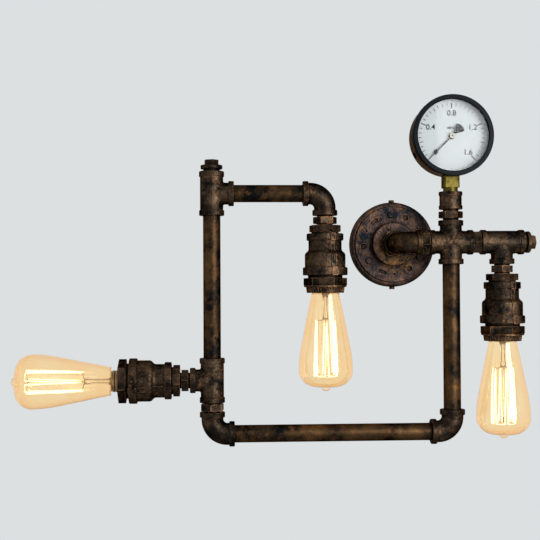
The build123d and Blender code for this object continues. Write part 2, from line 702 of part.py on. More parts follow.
def bushing_solid(axis):
    hex_end = BUSHING_AT + BUSHING_HEX_LENGTH
    end = REDUCER_AT + BUSHING_REACH
    with BuildPart(mode=Mode.PRIVATE) as bushing:
        extrude(hexagon(axis, BUSHING_AT, BUSHING_FLATS, BUSHING_TURN), amount=BUSHING_HEX_LENGTH)
        cone = hex_cone(axis, BUSHING_AT, BUSHING_HEX_LENGTH, BUSHING_FLATS)
        revolve(cone, axis=spin_axis(axis), mode=Mode.INTERSECT)
        extrude(disc(axis, hex_end, BUSHING_DIAMETER), amount=end - hex_end)
        extrude(disc(axis, BUSHING_AT, WATERWAY_DIAMETER), amount=end - BUSHING_AT, mode=Mode.SUBTRACT)
        socket = disc(axis, BUSHING_AT, PIPE_DIAMETER + 2 * THREAD_FIT)
        extrude(socket, amount=BUSHING_SOCKET_DEPTH, mode=Mode.SUBTRACT)
    return bushing.part


def reducer_outline(axis, grow=0.0):
    """Half the outside of the reducer, with a smooth shoulder, down to its axis."""
    small = REDUCER_SMALL_BAND_DIAMETER / 2 + grow
    neck = REDUCER_NECK_DIAMETER / 2 + grow
    body = REDUCER_BODY_DIAMETER / 2 + grow
    big = REDUCER_BIG_BAND_DIAMETER / 2 + grow
    with BuildSketch(lathe_plane(axis)) as section:
        with BuildLine():
            Polyline((0, REDUCER_AT), (small, REDUCER_AT), (small, NECK_AT))
            Polyline((small, NECK_AT), (neck, NECK_AT), (neck, SHOULDER_AT))
            Spline((neck, SHOULDER_AT), (body, BODY_AT), tangents=[(0, 1), (0, 1)])
            Polyline((body, BODY_AT), (body, BIG_BAND_AT), (big, BIG_BAND_AT), (big, REDUCER_END))
            Polyline((big, REDUCER_END), (0, REDUCER_END), (0, REDUCER_AT))
        make_face()
    return section.sketch


def make_reducer(name, axis):
    with BuildPart() as reducer:
        revolve(reducer_outline(axis), axis=spin_axis(axis))
        beads = circles_of(reducer, REDUCER_SMALL_BAND_DIAMETER)
        beads += circles_of(reducer, REDUCER_BIG_BAND_DIAMETER)
        fillet(beads, REDUCER_ROUNDING)
        for side in (0, 180):
            rib = reducer_outline(turned(axis, RIB_TURN + side - RIB_ANGLE / 2), RIB_HEIGHT)
            revolve(rib, axis=spin_axis(axis), revolution_arc=RIB_ANGLE)
        cavity_at = REDUCER_AT + BUSHING_REACH
        seat_at = REDUCER_END - REDUCER_SEAT
        small = REDUCER_SMALL_CAVITY / 2
        big = REDUCER_BIG_CAVITY / 2
        inside = [
            (0, cavity_at),
            (small, cavity_at),
            (small, SHOULDER_AT),
            (big, BODY_AT),
            (big, seat_at),
            (0, seat_at),
        ]
        revolve(lathe_section(axis, inside), axis=spin_axis(axis), mode=Mode.SUBTRACT)
        entry = disc(axis, REDUCER_AT, BUSHING_DIAMETER + 2 * THREAD_FIT)
        extrude(entry, amount=BUSHING_REACH, mode=Mode.SUBTRACT)
        seat = disc(axis, seat_at, HOLDER_NECK_DIAMETER + 2 * THREAD_FIT)
        extrude(seat, amount=REDUCER_SEAT, mode=Mode.SUBTRACT)
    save(reducer, name)


def make_holder_nut(name, axis, turn):
    neck_at = REDUCER_END - HOLDER_REACH
    with BuildPart() as holder_nut:
        extrude(hexagon(axis, HOLDER_AT, HOLDER_FLATS, turn), amount=HOLDER_HEX_LENGTH)
        cone = hex_cone(axis, HOLDER_AT, HOLDER_HEX_LENGTH, HOLDER_FLATS)
        revolve(cone, axis=spin_axis(axis), mode=Mode.INTERSECT)
        extrude(disc(axis, neck_at, HOLDER_NECK_DIAMETER), amount=HOLDER_AT - neck_at)
        bore = disc(axis, neck_at, PORCELAIN_DIAMETER + 2 * PORCELAIN_FIT)
        extrude(bore, amount=PORCELAIN_END - neck_at, mode=Mode.SUBTRACT)
        extrude(disc(axis, PORCELAIN_END, HOLDER_LIP_DIAMETER), amount=HOLDER_LIP, mode=Mode.SUBTRACT)
    save(holder_nut, name)


def make_knurled_rings():
    with BuildPart() as knurled_rings:
        for side in RINGED_LAMPS:
            add(knurled_ring_solid(LAMP_AXES[side]))
    save(knurled_rings, "knurled_rings")


def knurled_ring_solid(axis):
    """A ring with a thin flange, a grooved and slightly tapered body and a spigot in the nut."""
    flange_end = HOLDER_END + RING_FLANGE_THICKNESS
    end = HOLDER_END + RING_LENGTH
    spigot = HOLDER_LIP_DIAMETER / 2 - THREAD_FIT
    outline = [
        (spigot - RING_SPIGOT_WALL, HOLDER_END - RING_SPIGOT),
        (spigot, HOLDER_END - RING_SPIGOT),
        (spigot, HOLDER_END),
        (RING_FLANGE_DIAMETER / 2, HOLDER_END),
        (RING_FLANGE_DIAMETER / 2, flange_end),
        (RING_BASE_DIAMETER / 2, flange_end),
        (RING_END_DIAMETER / 2, end),
        (RING_BORE / 2, end),
        (RING_BORE / 2, flange_end),
        (spigot - RING_SPIGOT_WALL, flange_end),
    ]
    with BuildPart(mode=Mode.PRIVATE) as ring:
        revolve(lathe_section(axis, outline), axis=spin_axis(axis))
        with BuildSketch(axis.offset(flange_end)):
            with PolarLocations(RING_BASE_DIAMETER / 2, KNURL_COUNT):
                Rectangle(KNURL_DEPTH * sqrt(2), KNURL_DEPTH * sqrt(2), rotation=45)
        extrude(amount=RING_LENGTH, mode=Mode.SUBTRACT)
    return ring.part


def make_sockets():
    """The porcelain inserts, their screw shells and centre contacts."""
    shell_at = CONTACT_AT + SHELL_TO_BASE
    with BuildPart() as porcelain_inserts:
        for axis in LAMP_AXES.values():
            extrude(disc(axis, PORCELAIN_AT, PORCELAIN_DIAMETER), amount=PORCELAIN_LENGTH)
            hollow = disc(axis, shell_at, SHELL_DIAMETER)
            extrude(hollow, amount=PORCELAIN_LENGTH, mode=Mode.SUBTRACT)
            well = disc(axis, CONTACT_AT, CONTACT_DIAMETER + 2 * PORCELAIN_FIT)
            extrude(well, amount=SHELL_TO_BASE, mode=Mode.SUBTRACT)
    save(porcelain_inserts, "porcelain_inserts")
    with BuildPart() as screw_shells:
        for axis in LAMP_AXES.values():
            extrude(disc(axis, shell_at, SHELL_DIAMETER), amount=SHELL_LENGTH)
            bore = disc(axis, shell_at + SHELL_THICKNESS, SHELL_BORE)
            extrude(bore, amount=SHELL_LENGTH, mode=Mode.SUBTRACT)
            mouth = disc(axis, shell_at, CONTACT_DIAMETER + 2)
            extrude(mouth, amount=SHELL_THICKNESS, mode=Mode.SUBTRACT)
    save(screw_shells, "screw_shells")
    with BuildPart() as centre_contacts:
        for axis in LAMP_AXES.values():
            extrude(disc(axis, CONTACT_AT, CONTACT_DIAMETER), amount=CONTACT_THICKNESS)
            extrude(disc(axis, CONTACT_AT, CONTACT_POST_DIAMETER), amount=CONTACT_HEIGHT)
    save(centre_contacts, "centre_contacts")


# ---- Bulbs -------------------------------------------------------------------------------
def make_bulb_contact(name, axis):
    with BuildPart() as bulb_contact:
        extrude(disc(axis, BUTTON_AT, BUTTON_DIAMETER), amount=BUTTON_HEIGHT)
    save(bulb_contact, name)


def make_bulb_cap(name, axis):
    """The screw cap with its rolled ridges, and the black insulator that closes its end."""
    insulator_at = BUTTON_AT + BUTTON_HEIGHT
    root = CAP_ROOT_DIAMETER / 2
    crest = CAP_CREST_DIAMETER / 2
    inner = root - CAP_WALL
    first_ridge = CAP_END - CAP_PITCH * (CAP_RIDGES + CAP_LEAD_SHARE)
    with BuildPart() as bulb_cap:
        with BuildSketch(lathe_plane(axis)):
            with BuildLine():
                Polyline((inner, CAP_END), (inner, CAP_AT), (root, CAP_AT), (root, first_ridge))
                for ridge in range(CAP_RIDGES):
                    start = first_ridge + ridge * CAP_PITCH
                    top = start + CAP_PITCH / 2
                    ThreePointArc((root, start), (crest, top), (root, start + CAP_PITCH))
                Polyline((root, first_ridge + CAP_RIDGES * CAP_PITCH), (root, CAP_END), (inner, CAP_END))
            make_face()
        revolve(axis=spin_axis(axis))
        end = INSULATOR_END_DIAMETER / 2
        cone = [(0, insulator_at), (end, insulator_at), (root, CAP_AT), (0, CAP_AT)]
        revolve(lathe_section(axis, cone), axis=spin_axis(axis))
    save(bulb_cap, name)


def glass_outline(axis, inset):
    """Half of the pear shape, moved inwards by the inset."""
    shoulder = GLASS_SHOULDER_DIAMETER / 2 - inset
    belly = GLASS_DIAMETER / 2 - inset
    corner = GLASS_CORNER_RADIUS - inset
    centre = GLASS_DIAMETER / 2 - GLASS_CORNER_RADIUS
    shelf_at = CAP_END + GLASS_LENGTH - GLASS_CORNER_RADIUS
    neck = GLASS_NECK_DIAMETER / 2 - inset
    open_at = CAP_END - GLASS_NECK_REACH
    bottom = shelf_at + corner
    half = corner / sqrt(2)
    with BuildSketch(lathe_plane(axis)) as section:
        with BuildLine():
            Polyline((0, open_at), (neck, open_at), (neck, CAP_END + inset))
            Line((neck, CAP_END + inset), (shoulder, CAP_END + inset + 1))
            waist = (GLASS_WAIST_DIAMETER / 2 - inset, CAP_END + GLASS_WAIST_AT)
            leans = [(GLASS_SHOULDER_LEAN, 1), (0, 1)]
            Spline((shoulder, CAP_END + inset + 1), waist, (belly, shelf_at), tangents=leans)
            ThreePointArc((belly, shelf_at), (centre + half, shelf_at + half), (centre, bottom))
            Polyline((centre, bottom), (0, bottom + 1), (0, open_at))
        make_face()
    return section.sketch


def make_bulb_glass(name, axis):
    with BuildPart() as bulb_glass:
        revolve(glass_outline(axis, 0), axis=spin_axis(axis))
        nub_at = CAP_END + GLASS_LENGTH - GLASS_WALL
        extrude(disc(axis, nub_at, GLASS_NUB_DIAMETER), amount=GLASS_NUB_LENGTH + GLASS_WALL)
        revolve(glass_outline(axis, GLASS_WALL), axis=spin_axis(axis), mode=Mode.SUBTRACT)
        mouth = disc(axis, CAP_END - GLASS_NECK_REACH, GLASS_NECK_DIAMETER - 2 * GLASS_WALL)
        extrude(mouth, amount=GLASS_NECK_REACH, mode=Mode.SUBTRACT)
        tip = circles_of(bulb_glass, GLASS_NUB_DIAMETER).sort_by(spin_axis(axis))[-1]
        fillet(tip, GLASS_NUB_DIAMETER / 3)
    save(bulb_glass, name)


def mount_solid():
    """The glass stem sealed into the neck, its rod, the anchors and the cage of filament strands."""
    axis = Plane.XY
    stem_at = CAP_END - GLASS_NECK_REACH
    flare = GLASS_NECK_DIAMETER / 2 - GLASS_WALL
    hub_at = CAP_END + STEM_LENGTH
    cage_at = hub_at + ANCHOR_BEAD_DIAMETER
    foot_at = cage_at + CAGE_LENGTH
    with BuildPart(mode=Mode.PRIVATE) as mount:
        cone = [
            (0, stem_at),
            (flare, stem_at),
            (flare, stem_at + GLASS_WALL),
            (STEM_DIAMETER / 2, stem_at + STEM_FLARE_LENGTH),
            (STEM_DIAMETER / 2, hub_at),
            (ROD_DIAMETER / 2, hub_at),
            (ROD_DIAMETER / 2, foot_at + ROD_DIAMETER),
            (0, foot_at + ROD_DIAMETER),
        ]
        revolve(lathe_section(axis, cone), axis=spin_axis(axis))
        for strand in range(CAGE_STRANDS):
            top = cage_point(axis, CAGE_TOP_DIAMETER, cage_at, strand + strand % 2)
            foot = cage_point(axis, CAGE_DIAMETER, foot_at, strand + 1 - strand % 2)
            add(wire(top, foot))
        for anchor in range(CAGE_STRANDS // 2):
            top = cage_point(axis, CAGE_TOP_DIAMETER, cage_at, 2 * anchor)
            foot = cage_point(axis, CAGE_DIAMETER, foot_at, 2 * anchor + 1)
            add(wire(axis.from_local_coords((0, 0, cage_at)), top))
            add(wire(axis.from_local_coords((0, 0, foot_at)), foot))
            with Locations(top, foot):
                Sphere(ANCHOR_BEAD_DIAMETER / 2)
    return mount.part


def make_bulb_mounts():
    mount = mount_solid()
    for side, axis in LAMP_AXES.items():
        with BuildPart() as bulb_mount:
            with Locations(axis.location):
                add(mount)
        save(bulb_mount, f"{side}_bulb_mount")


def cage_point(axis, diameter, height, step):
    angle = 2 * pi * step / CAGE_STRANDS
    return axis.from_local_coords((diameter / 2 * cos(angle), diameter / 2 * sin(angle), height))


def wire(start, end):
    """A straight wire between two points."""
    start = Vector(start)
    direction = Vector(end) - start
    with BuildPart(mode=Mode.PRIVATE) as strand:
        with BuildSketch(Plane(origin=start, z_dir=direction)):
            Circle(STRAND_DIAMETER / 2)
        extrude(amount=direction.length)
    return strand.part


# ---- Gauge -------------------------------------------------------------------------------
GAUGE = Plane(origin=(CROSS_X, PIPE_Y, GAUGE_Z), x_dir=(1, 0, 0), z_dir=(0, -1, 0))
RISER = Plane(origin=(CROSS_X, PIPE_Y, 0), x_dir=(1, 0, 0), z_dir=(0, 0, 1))
WINDOW_AT = CASE_FRONT
DIAL_AT = WINDOW_AT - DIAL_BEHIND_WINDOW


def make_gauge_coupling():
    body = COUPLING_BODY_DIAMETER / 2
    band = COUPLING_BAND_DIAMETER / 2
    outline = [
        (0, COUPLING_BASE_Z),
        (band, COUPLING_BASE_Z),
        (band, COUPLING_BASE_Z + COUPLING_BAND_LENGTH),
        (body, COUPLING_BASE_Z + COUPLING_BAND_LENGTH),
        (body, COUPLING_TOP_Z - COUPLING_BAND_LENGTH),
        (band, COUPLING_TOP_Z - COUPLING_BAND_LENGTH),
        (band, COUPLING_TOP_Z),
        (0, COUPLING_TOP_Z),
    ]
    with BuildPart() as gauge_coupling:
        revolve(lathe_section(RISER, outline), axis=spin_axis(RISER))
        fillet(circles_of(gauge_coupling, COUPLING_BAND_DIAMETER), COUPLING_ROUNDING)
        bore = disc(RISER, COUPLING_BASE_Z, PIPE_DIAMETER + 2 * THREAD_FIT)
        extrude(bore, amount=COUPLING_LENGTH, mode=Mode.SUBTRACT)
    save(gauge_coupling, "gauge_coupling")


def make_gauge_socket():
    """The brass socket: thread, neck, square for a spanner, and the head inside the case."""
    thread_length = COUPLING_LENGTH - ENGAGEMENT - 1
    square_at = COUPLING_TOP_Z + SOCKET_NECK_LENGTH
    head_top = GAUGE_Z - SOCKET_HEAD_TOP
    with BuildPart() as gauge_socket:
        extrude(disc(RISER, COUPLING_TOP_Z - thread_length, PIPE_DIAMETER), amount=thread_length)
        extrude(disc(RISER, COUPLING_TOP_Z, SOCKET_NECK_DIAMETER), amount=SOCKET_NECK_LENGTH)
        with BuildSketch(RISER.offset(square_at)):
            Rectangle(SOCKET_SQUARE, SOCKET_SQUARE)
            chamfer(vertices(), SOCKET_SQUARE / 10)
        extrude(amount=SOCKET_SQUARE_LENGTH)
        with BuildSketch(RISER.offset(square_at)):
            Rectangle(SOCKET_HEAD_DEPTH, SOCKET_HEAD_DEPTH)
        extrude(amount=head_top - square_at)
        fillet(circles_of(gauge_socket, SOCKET_NECK_DIAMETER).sort_by(Axis.Z)[:1], SOCKET_ROUNDING)
        bore = disc(RISER, COUPLING_TOP_Z - thread_length, SOCKET_BORE)
        extrude(bore, amount=head_top - COUPLING_TOP_Z, mode=Mode.SUBTRACT)
    save(gauge_socket, "gauge_socket")


def make_gauge_case():
    with BuildPart() as gauge_case:
        with BuildSketch(GAUGE.offset(-CASE_BACK)):
            Circle(CASE_DIAMETER / 2)
        extrude(amount=CASE_BACK + CASE_FRONT)
        fillet(gauge_case.faces().sort_by(Axis.Y)[-1].edges(), CASE_ROUNDING)
        with BuildSketch(GAUGE.offset(CASE_WALL - CASE_BACK)):
            Circle(CASE_DIAMETER / 2 - CASE_WALL)
        extrude(amount=CASE_BACK + CASE_FRONT, mode=Mode.SUBTRACT)
        inner_corner = circles_of(gauge_case, CASE_DIAMETER - 2 * CASE_WALL).sort_by(Axis.Y)[-1:]
        fillet(inner_corner, CASE_ROUNDING - CASE_WALL)
        with BuildSketch(RISER.offset(CASE_BOTTOM_Z - SOCKET_SQUARE)):
            Rectangle(SOCKET_HEAD_DEPTH + 2 * CASE_FIT, SOCKET_HEAD_DEPTH + 2 * CASE_FIT)
        extrude(amount=SOCKET_SQUARE + CASE_ROUNDING, mode=Mode.SUBTRACT)
        vent = vent_plane()
        with BuildSketch(vent):
            Circle(VENT_DIAMETER / 2 - 1)
        extrude(amount=-2 * CASE_WALL, mode=Mode.SUBTRACT)
    save(gauge_case, "gauge_case")
    with BuildPart() as case_vent_plug:
        with BuildSketch(vent):
            Circle(VENT_DIAMETER / 2)
        extrude(amount=1)
        with BuildSketch(vent):
            Circle(VENT_DIAMETER / 2 - 1 - THREAD_FIT)
        extrude(amount=-2 * CASE_WALL)
    save(case_vent_plug, "case_vent_plug")


def vent_plane():
    """On the side of the case, looking outwards, halfway along its depth."""
    outward = Vector(cos(radians(VENT_ANGLE)), 0, sin(radians(VENT_ANGLE)))
    middle = Vector(CROSS_X, PIPE_Y + CASE_BACK / 3, GAUGE_Z)
    return Plane(origin=middle + outward * (CASE_DIAMETER / 2), x_dir=(0, 1, 0), z_dir=outward)


def make_bezel():
    outer = BEZEL_DIAMETER / 2
    skirt = CASE_DIAMETER / 2 + BEZEL_FIT
    lip_back = WINDOW_AT + WINDOW_THICKNESS
    front = lip_back + BEZEL_LIP
    outline = [
        (skirt, front - BEZEL_SKIRT),
        (outer, front - BEZEL_SKIRT),
        (outer, front),
        (SIGHT_DIAMETER / 2, front),
        (SIGHT_DIAMETER / 2, lip_back),
        (skirt, lip_back),
    ]
    with BuildPart() as gauge_bezel:
        revolve(lathe_section(GAUGE, outline), axis=spin_axis(GAUGE))
        fillet(circles_of(gauge_bezel, BEZEL_DIAMETER).sort_by(Axis.Y)[:1], BEZEL_ROUNDING)
        chamfer(circles_of(gauge_bezel, SIGHT_DIAMETER).sort_by(Axis.Y)[:1], BEZEL_LIP / 2)
    save(gauge_bezel, "gauge_bezel")
    with BuildPart() as gauge_window:
        extrude(disc(GAUGE, WINDOW_AT, WINDOW_DIAMETER), amount=WINDOW_THICKNESS)
    save(gauge_window, "gauge_window")
    with BuildPart() as gauge_dial:
        extrude(disc(GAUGE, DIAL_AT - DIAL_THICKNESS, DIAL_DIAMETER), amount=DIAL_THICKNESS)
        hole = disc(GAUGE, DIAL_AT - DIAL_THICKNESS, DIAL_HOLE_DIAMETER)
        extrude(hole, amount=DIAL_THICKNESS, mode=Mode.SUBTRACT)
    save(gauge_dial, "gauge_dial")


def involute_tooth(pitch_radius, thinning):
    """Points of one tooth about +X, from root to tip and back, on an involute of the pressure angle."""
    base = pitch_radius * cos(radians(PRESSURE_ANGLE))
    tip = pitch_radius + ADDENDUM * GEAR_MODULE
    root = pitch_radius - DEDENDUM * GEAR_MODULE
    roll_at_pitch = tan(radians(PRESSURE_ANGLE)) - radians(PRESSURE_ANGLE)
    half_angle = pi * GEAR_MODULE / 4 / pitch_radius - thinning / pitch_radius
    flank = []
    for step in range(5):
        radius = base + (tip - base) * step / 4
        pressure = acos(min(1, base / radius))
        angle = half_angle + roll_at_pitch - (tan(pressure) - pressure)
        flank.append((radius, angle))
    if root < base:
        flank.insert(0, (root, flank[0][1]))
    right = [(radius * cos(-angle), radius * sin(-angle)) for radius, angle in flank]
    left = [(radius * cos(angle), radius * sin(angle)) for radius, angle in reversed(flank)]
    return right + left


def tooth_faces(pitch_radius, angles):
    """One sketch of teeth at the given angles about the origin."""
    teeth = []
    for angle in angles:
        with BuildSketch(mode=Mode.PRIVATE) as tooth:
            with BuildLine():
                Polyline(*involute_tooth(pitch_radius, GEAR_BACKLASH / 2), close=True)
            make_face()
        teeth.append(tooth.sketch.rotate(Axis.Z, angle))
    return teeth


def make_pointer():
    """Pointer, hub, arbor and pinion, one turning piece."""
    blade_at = DIAL_AT + POINTER_ABOVE_DIAL
    arbor_back = -BACK_PLATE_AT - PLATE_THICKNESS
    neck = POINTER_REACH - POINTER_HEAD_LENGTH
    half = POINTER_WIDTH / 2
    head = POINTER_HEAD_WIDTH / 2
    tail = POINTER_TAIL_WIDTH / 2
    side = [
        (POINTER_REACH, 0),
        (neck + POINTER_HEAD_LENGTH / 3, half),
        (neck, head),
        (neck + POINTER_HEAD_LENGTH / 8, half),
        (-POINTER_TAIL / 4, half),
        (-POINTER_TAIL * POINTER_FAN_SHARE, tail),
    ]
    mirrored = [(x, -y) for x, y in reversed(side[1:])]
    with BuildPart() as gauge_pointer:
        with BuildSketch(turned(GAUGE.offset(blade_at), POINTER_START)):
            with BuildLine():
                Polyline(*side)
                ThreePointArc(side[-1], (-POINTER_TAIL, 0), mirrored[0])
                Polyline(*mirrored, side[0])
            make_face()
        extrude(amount=POINTER_THICKNESS)
        hub_at = blade_at - POINTER_HUB_THICKNESS / 2
        extrude(disc(GAUGE, hub_at, POINTER_HUB_DIAMETER), amount=POINTER_HUB_THICKNESS)
        extrude(disc(GAUGE, arbor_back, ARBOR_DIAMETER), amount=hub_at - arbor_back)
        pinion_at = -GEAR_PLANE - PINION_LENGTH / 2
        root = PINION_RADIUS - DEDENDUM * GEAR_MODULE
        extrude(disc(GAUGE, pinion_at, 2 * root), amount=PINION_LENGTH)
        step = 360 / PINION_TEETH
        angles = [-90 + (i + 0.5) * step for i in range(PINION_TEETH)]
        with BuildSketch(GAUGE.offset(pinion_at)):
            add(tooth_faces(PINION_RADIUS, angles))
        extrude(amount=PINION_LENGTH)
    save(gauge_pointer, "gauge_pointer")


SECTOR = Plane(origin=GAUGE.from_local_coords((0, -SECTOR_DROP, 0)), x_dir=(1, 0, 0), z_dir=(0, -1, 0))
TAIL_POINT = (
    SECTOR_TAIL * cos(radians(SECTOR_TAIL_ANGLE)),
    SECTOR_TAIL * sin(radians(SECTOR_TAIL_ANGLE)),
)


TIP_LUG = (TUBE_RADIUS * cos(radians(LUG_ANGLE)), TUBE_RADIUS * sin(radians(LUG_ANGLE)))


def make_sector_gear():
    start = -GEAR_PLANE - SECTOR_THICKNESS / 2
    step = 360 / (PINION_TEETH * GEAR_RATIO)
    angles = [90 - (i - 1) * step for i in range(SECTOR_TEETH)]
    root = SECTOR_RADIUS - DEDENDUM * GEAR_MODULE
    first = radians(angles[0] + step / 2)
    last = radians(angles[-1] - step / 2)
    middle = (first + last) / 2
    with BuildPart() as sector_gear:
        with BuildSketch(SECTOR.offset(start)):
            with BuildLine():
                Line((0, 0), (root * cos(first), root * sin(first)))
                ThreePointArc(
                    (root * cos(first), root * sin(first)),
                    (root * cos(middle), root * sin(middle)),
                    (root * cos(last), root * sin(last)),
                )
                Line((root * cos(last), root * sin(last)), (0, 0))
            make_face()
            Circle(SECTOR_WEB)
            SlotCenterPoint((TAIL_POINT[0] / 2, TAIL_POINT[1] / 2), TAIL_POINT, LINK_WIDTH + 1)
            add(tooth_faces(SECTOR_RADIUS, angles))
        extrude(amount=SECTOR_THICKNESS)
        with BuildSketch(SECTOR.offset(start)):
            with Locations(TAIL_POINT):
                Circle(LINK_PIN_DIAMETER / 2 + ARBOR_FIT)
        extrude(amount=SECTOR_THICKNESS, mode=Mode.SUBTRACT)
        arbor_back = -BACK_PLATE_AT - PLATE_THICKNESS
        arbor_front = FRONT_PLATE_AT + PLATE_THICKNESS
        extrude(disc(SECTOR, arbor_back, ARBOR_DIAMETER), amount=arbor_front - arbor_back)
    save(sector_gear, "sector_gear")


def make_movement_frame():
    """Two plates held apart by pillars, which also reach forward to carry the dial."""
    bottom = SOCKET_HEAD_TOP
    height = PLATE_TOP + bottom
    middle_y = (PLATE_TOP - bottom) / 2
    hub = (0, 0)
    pivot = (0, -SECTOR_DROP)
    pillars = [(PILLAR_SPREAD * side, PLATE_TOP - PILLAR_DIAMETER) for side in (-1, 1)]
    with BuildPart() as movement_frame:
        for start in (-BACK_PLATE_AT - PLATE_THICKNESS, FRONT_PLATE_AT):
            with BuildSketch(GAUGE.offset(start)):
                with Locations((0, middle_y)):
                    Rectangle(PLATE_WIDTH, height)
                with Locations((0, PLATE_TOP - PILLAR_DIAMETER)):
                    Rectangle(2 * PILLAR_SPREAD + PILLAR_DIAMETER, 2 * PILLAR_DIAMETER)
                with Locations(hub, pivot):
                    Circle(ARBOR_DIAMETER / 2 + ARBOR_FIT, mode=Mode.SUBTRACT)
            extrude(amount=PLATE_THICKNESS)
        with BuildSketch(GAUGE.offset(-BACK_PLATE_AT)):
            with Locations(*pillars):
                Circle(PILLAR_DIAMETER / 2)
        extrude(amount=BACK_PLATE_AT + DIAL_AT - DIAL_THICKNESS)
    save(movement_frame, "movement_frame")


def make_gauge_link():
    """A flat link from the sector's tail to just short of the tube's lug, with a pin in the tail."""
    tail = Vector(TAIL_POINT[0], TAIL_POINT[1] - SECTOR_DROP)
    tip = Vector(*TIP_LUG)
    middle = (tail + tip) / 2
    start = -GEAR_PLANE - SECTOR_THICKNESS / 2 - LINK_GAP - LINK_THICKNESS
    pin_length = LINK_THICKNESS + LINK_GAP + SECTOR_THICKNESS
    with BuildPart() as gauge_link:
        with BuildSketch(GAUGE.offset(start)):
            SlotCenterPoint(middle, tip, LINK_WIDTH)
        extrude(amount=LINK_THICKNESS)
        with BuildSketch(GAUGE.offset(start)):
            with Locations(tail):
                Circle(LINK_PIN_DIAMETER / 2)
        extrude(amount=pin_length)
        with BuildSketch(GAUGE.offset(start)):
            with Locations(tip):
                Circle(LINK_PIN_DIAMETER / 2)
        extrude(amount=LINK_THICKNESS, mode=Mode.SUBTRACT)
    save(gauge_link, "gauge_link")


def make_bourdon_tube():
    """A flattened tube bent most of the way round, fixed in the socket head, with a lug at its tip."""
    foot_angle = 270 - degrees(asin(SOCKET_HEAD_DEPTH / 2 / (TUBE_RADIUS + TUBE_DEPTH)))
    end_plane = tube_section_plane(TUBE_END_ANGLE)
    head_top = GAUGE_Z - SOCKET_HEAD_TOP
    lug_sweep = TUBE_END_ANGLE - LUG_ANGLE + degrees(LUG_WIDTH / 2 / TUBE_RADIUS)
    with BuildPart() as bourdon_tube:
        with BuildSketch(end_plane):
            SlotOverall(TUBE_WIDTH, TUBE_DEPTH)
        revolve(axis=spin_axis(GAUGE), revolution_arc=foot_angle - TUBE_END_ANGLE)
        with BuildSketch(end_plane):
            with Locations((SECTOR_THICKNESS / 2 - LINK_GAP - LINK_THICKNESS / 2, 0)):
                Rectangle(LINK_THICKNESS, LUG_WIDTH)
        revolve(axis=spin_axis(GAUGE), revolution_arc=-lug_sweep)
        with BuildSketch(RISER.offset(head_top)):
            Rectangle(SOCKET_HEAD_DEPTH, SOCKET_HEAD_DEPTH)
        extrude(amount=-SOCKET_HEAD_TOP, mode=Mode.SUBTRACT)
    save(bourdon_tube, "bourdon_tube")


def tube_section_plane(angle):
    """Across the tube at an angle: X runs along the gauge axis, Y along the radius."""
    outward = GAUGE.x_dir * cos(radians(angle)) + GAUGE.y_dir * sin(radians(angle))
    centre = GAUGE.origin + outward * TUBE_RADIUS + IN * GEAR_PLANE
    return Plane(origin=centre, x_dir=IN, z_dir=IN.cross(outward))


# ---- Leads -------------------------------------------------------------------------------
def make_lead(name, corners):
    """One internal lead: straight runs joined by the fittings' own bend radius."""
    with BuildPart() as lead:
        with BuildLine() as route:
            FilletPolyline(*corners, radius=BEND_RADIUS)
        with BuildSketch(Plane(origin=corners[0], z_dir=corners[1] - corners[0])):
            Circle(LEAD_DIAMETER / 2)
        sweep(path=route.wires()[0])
    save(lead, name)


def lead_corners(shift, lift, bends):
    """From the terminal block through the wall elbow, off the pipe axis, by the bends to a lamp."""
    start = Vector(shift, -BRACKET_THICKNESS - TERMINAL_DEPTH, lift)
    turn = Vector(shift, PIPE_Y + shift, lift)
    return [start, turn, *[bend + IN * shift for bend in bends]]


NIPPLES = [
    (WALL_ELBOW, RIGHT, NIPPLE_GAP_CROSS, 12),
    (CROSS, RIGHT, NIPPLE_GAP_TEE, 0),
    (CROSS, UP, NIPPLE_GAP_GAUGE, 20),
    (LEFT_TEE, DOWN, NIPPLE_GAP_LEFT, 8),
    (LEFT_TEE, LEFT, NIPPLE_GAP_LAMP, 5),
    (MIDDLE_ELBOW, DOWN, NIPPLE_GAP_LAMP, 25),
    (RIGHT_TEE, DOWN, NIPPLE_GAP_LAMP, 14),
]
LAMP_AXES = {
    "left": axis_plane(LEFT_TEE + LEFT * CENTRE_TO_END, LEFT, UP),
    "middle": axis_plane(MIDDLE_ELBOW + DOWN * CENTRE_TO_END, DOWN, RIGHT),
    "right": axis_plane(RIGHT_TEE + DOWN * CENTRE_TO_END, DOWN, RIGHT),
}
RINGED_LAMPS = ("middle", "right")
HOLDER_TURNS = {"left": 10, "middle": 12, "right": 18}

os.makedirs("parts", exist_ok=True)

make_wall_bracket()
make_terminal_block()
make_canopy_rim()
make_canopy_face()
make_canopy_bolts()
make_side_screws()
make_canopy_nipple()

elbow_casting("wall_elbow", WALL_ELBOW, IN, RIGHT)
straight_casting("cross", CROSS, RIGHT, [UP, DOWN])
straight_casting("right_tee", RIGHT_TEE, RIGHT, [DOWN])
straight_casting("top_left_tee", TOP_LEFT_TEE, UP, [RIGHT])
straight_casting("left_tee", LEFT_TEE, UP, [LEFT])
elbow_casting("middle_elbow", MIDDLE_ELBOW, LEFT, DOWN)
elbow_casting("lower_left_elbow", LOWER_LEFT_ELBOW, UP, RIGHT)
elbow_casting("lower_right_elbow", LOWER_RIGHT_ELBOW, UP, LEFT)
straight_pipe("right_pipe", CROSS, LOWER_RIGHT_ELBOW)
straight_pipe("bottom_pipe", LOWER_LEFT_ELBOW, LOWER_RIGHT_ELBOW)
straight_pipe("left_pipe", LEFT_TEE, TOP_LEFT_TEE)
straight_pipe("top_pipe", TOP_LEFT_TEE, MIDDLE_ELBOW)
make_nipples()
make_plugs()

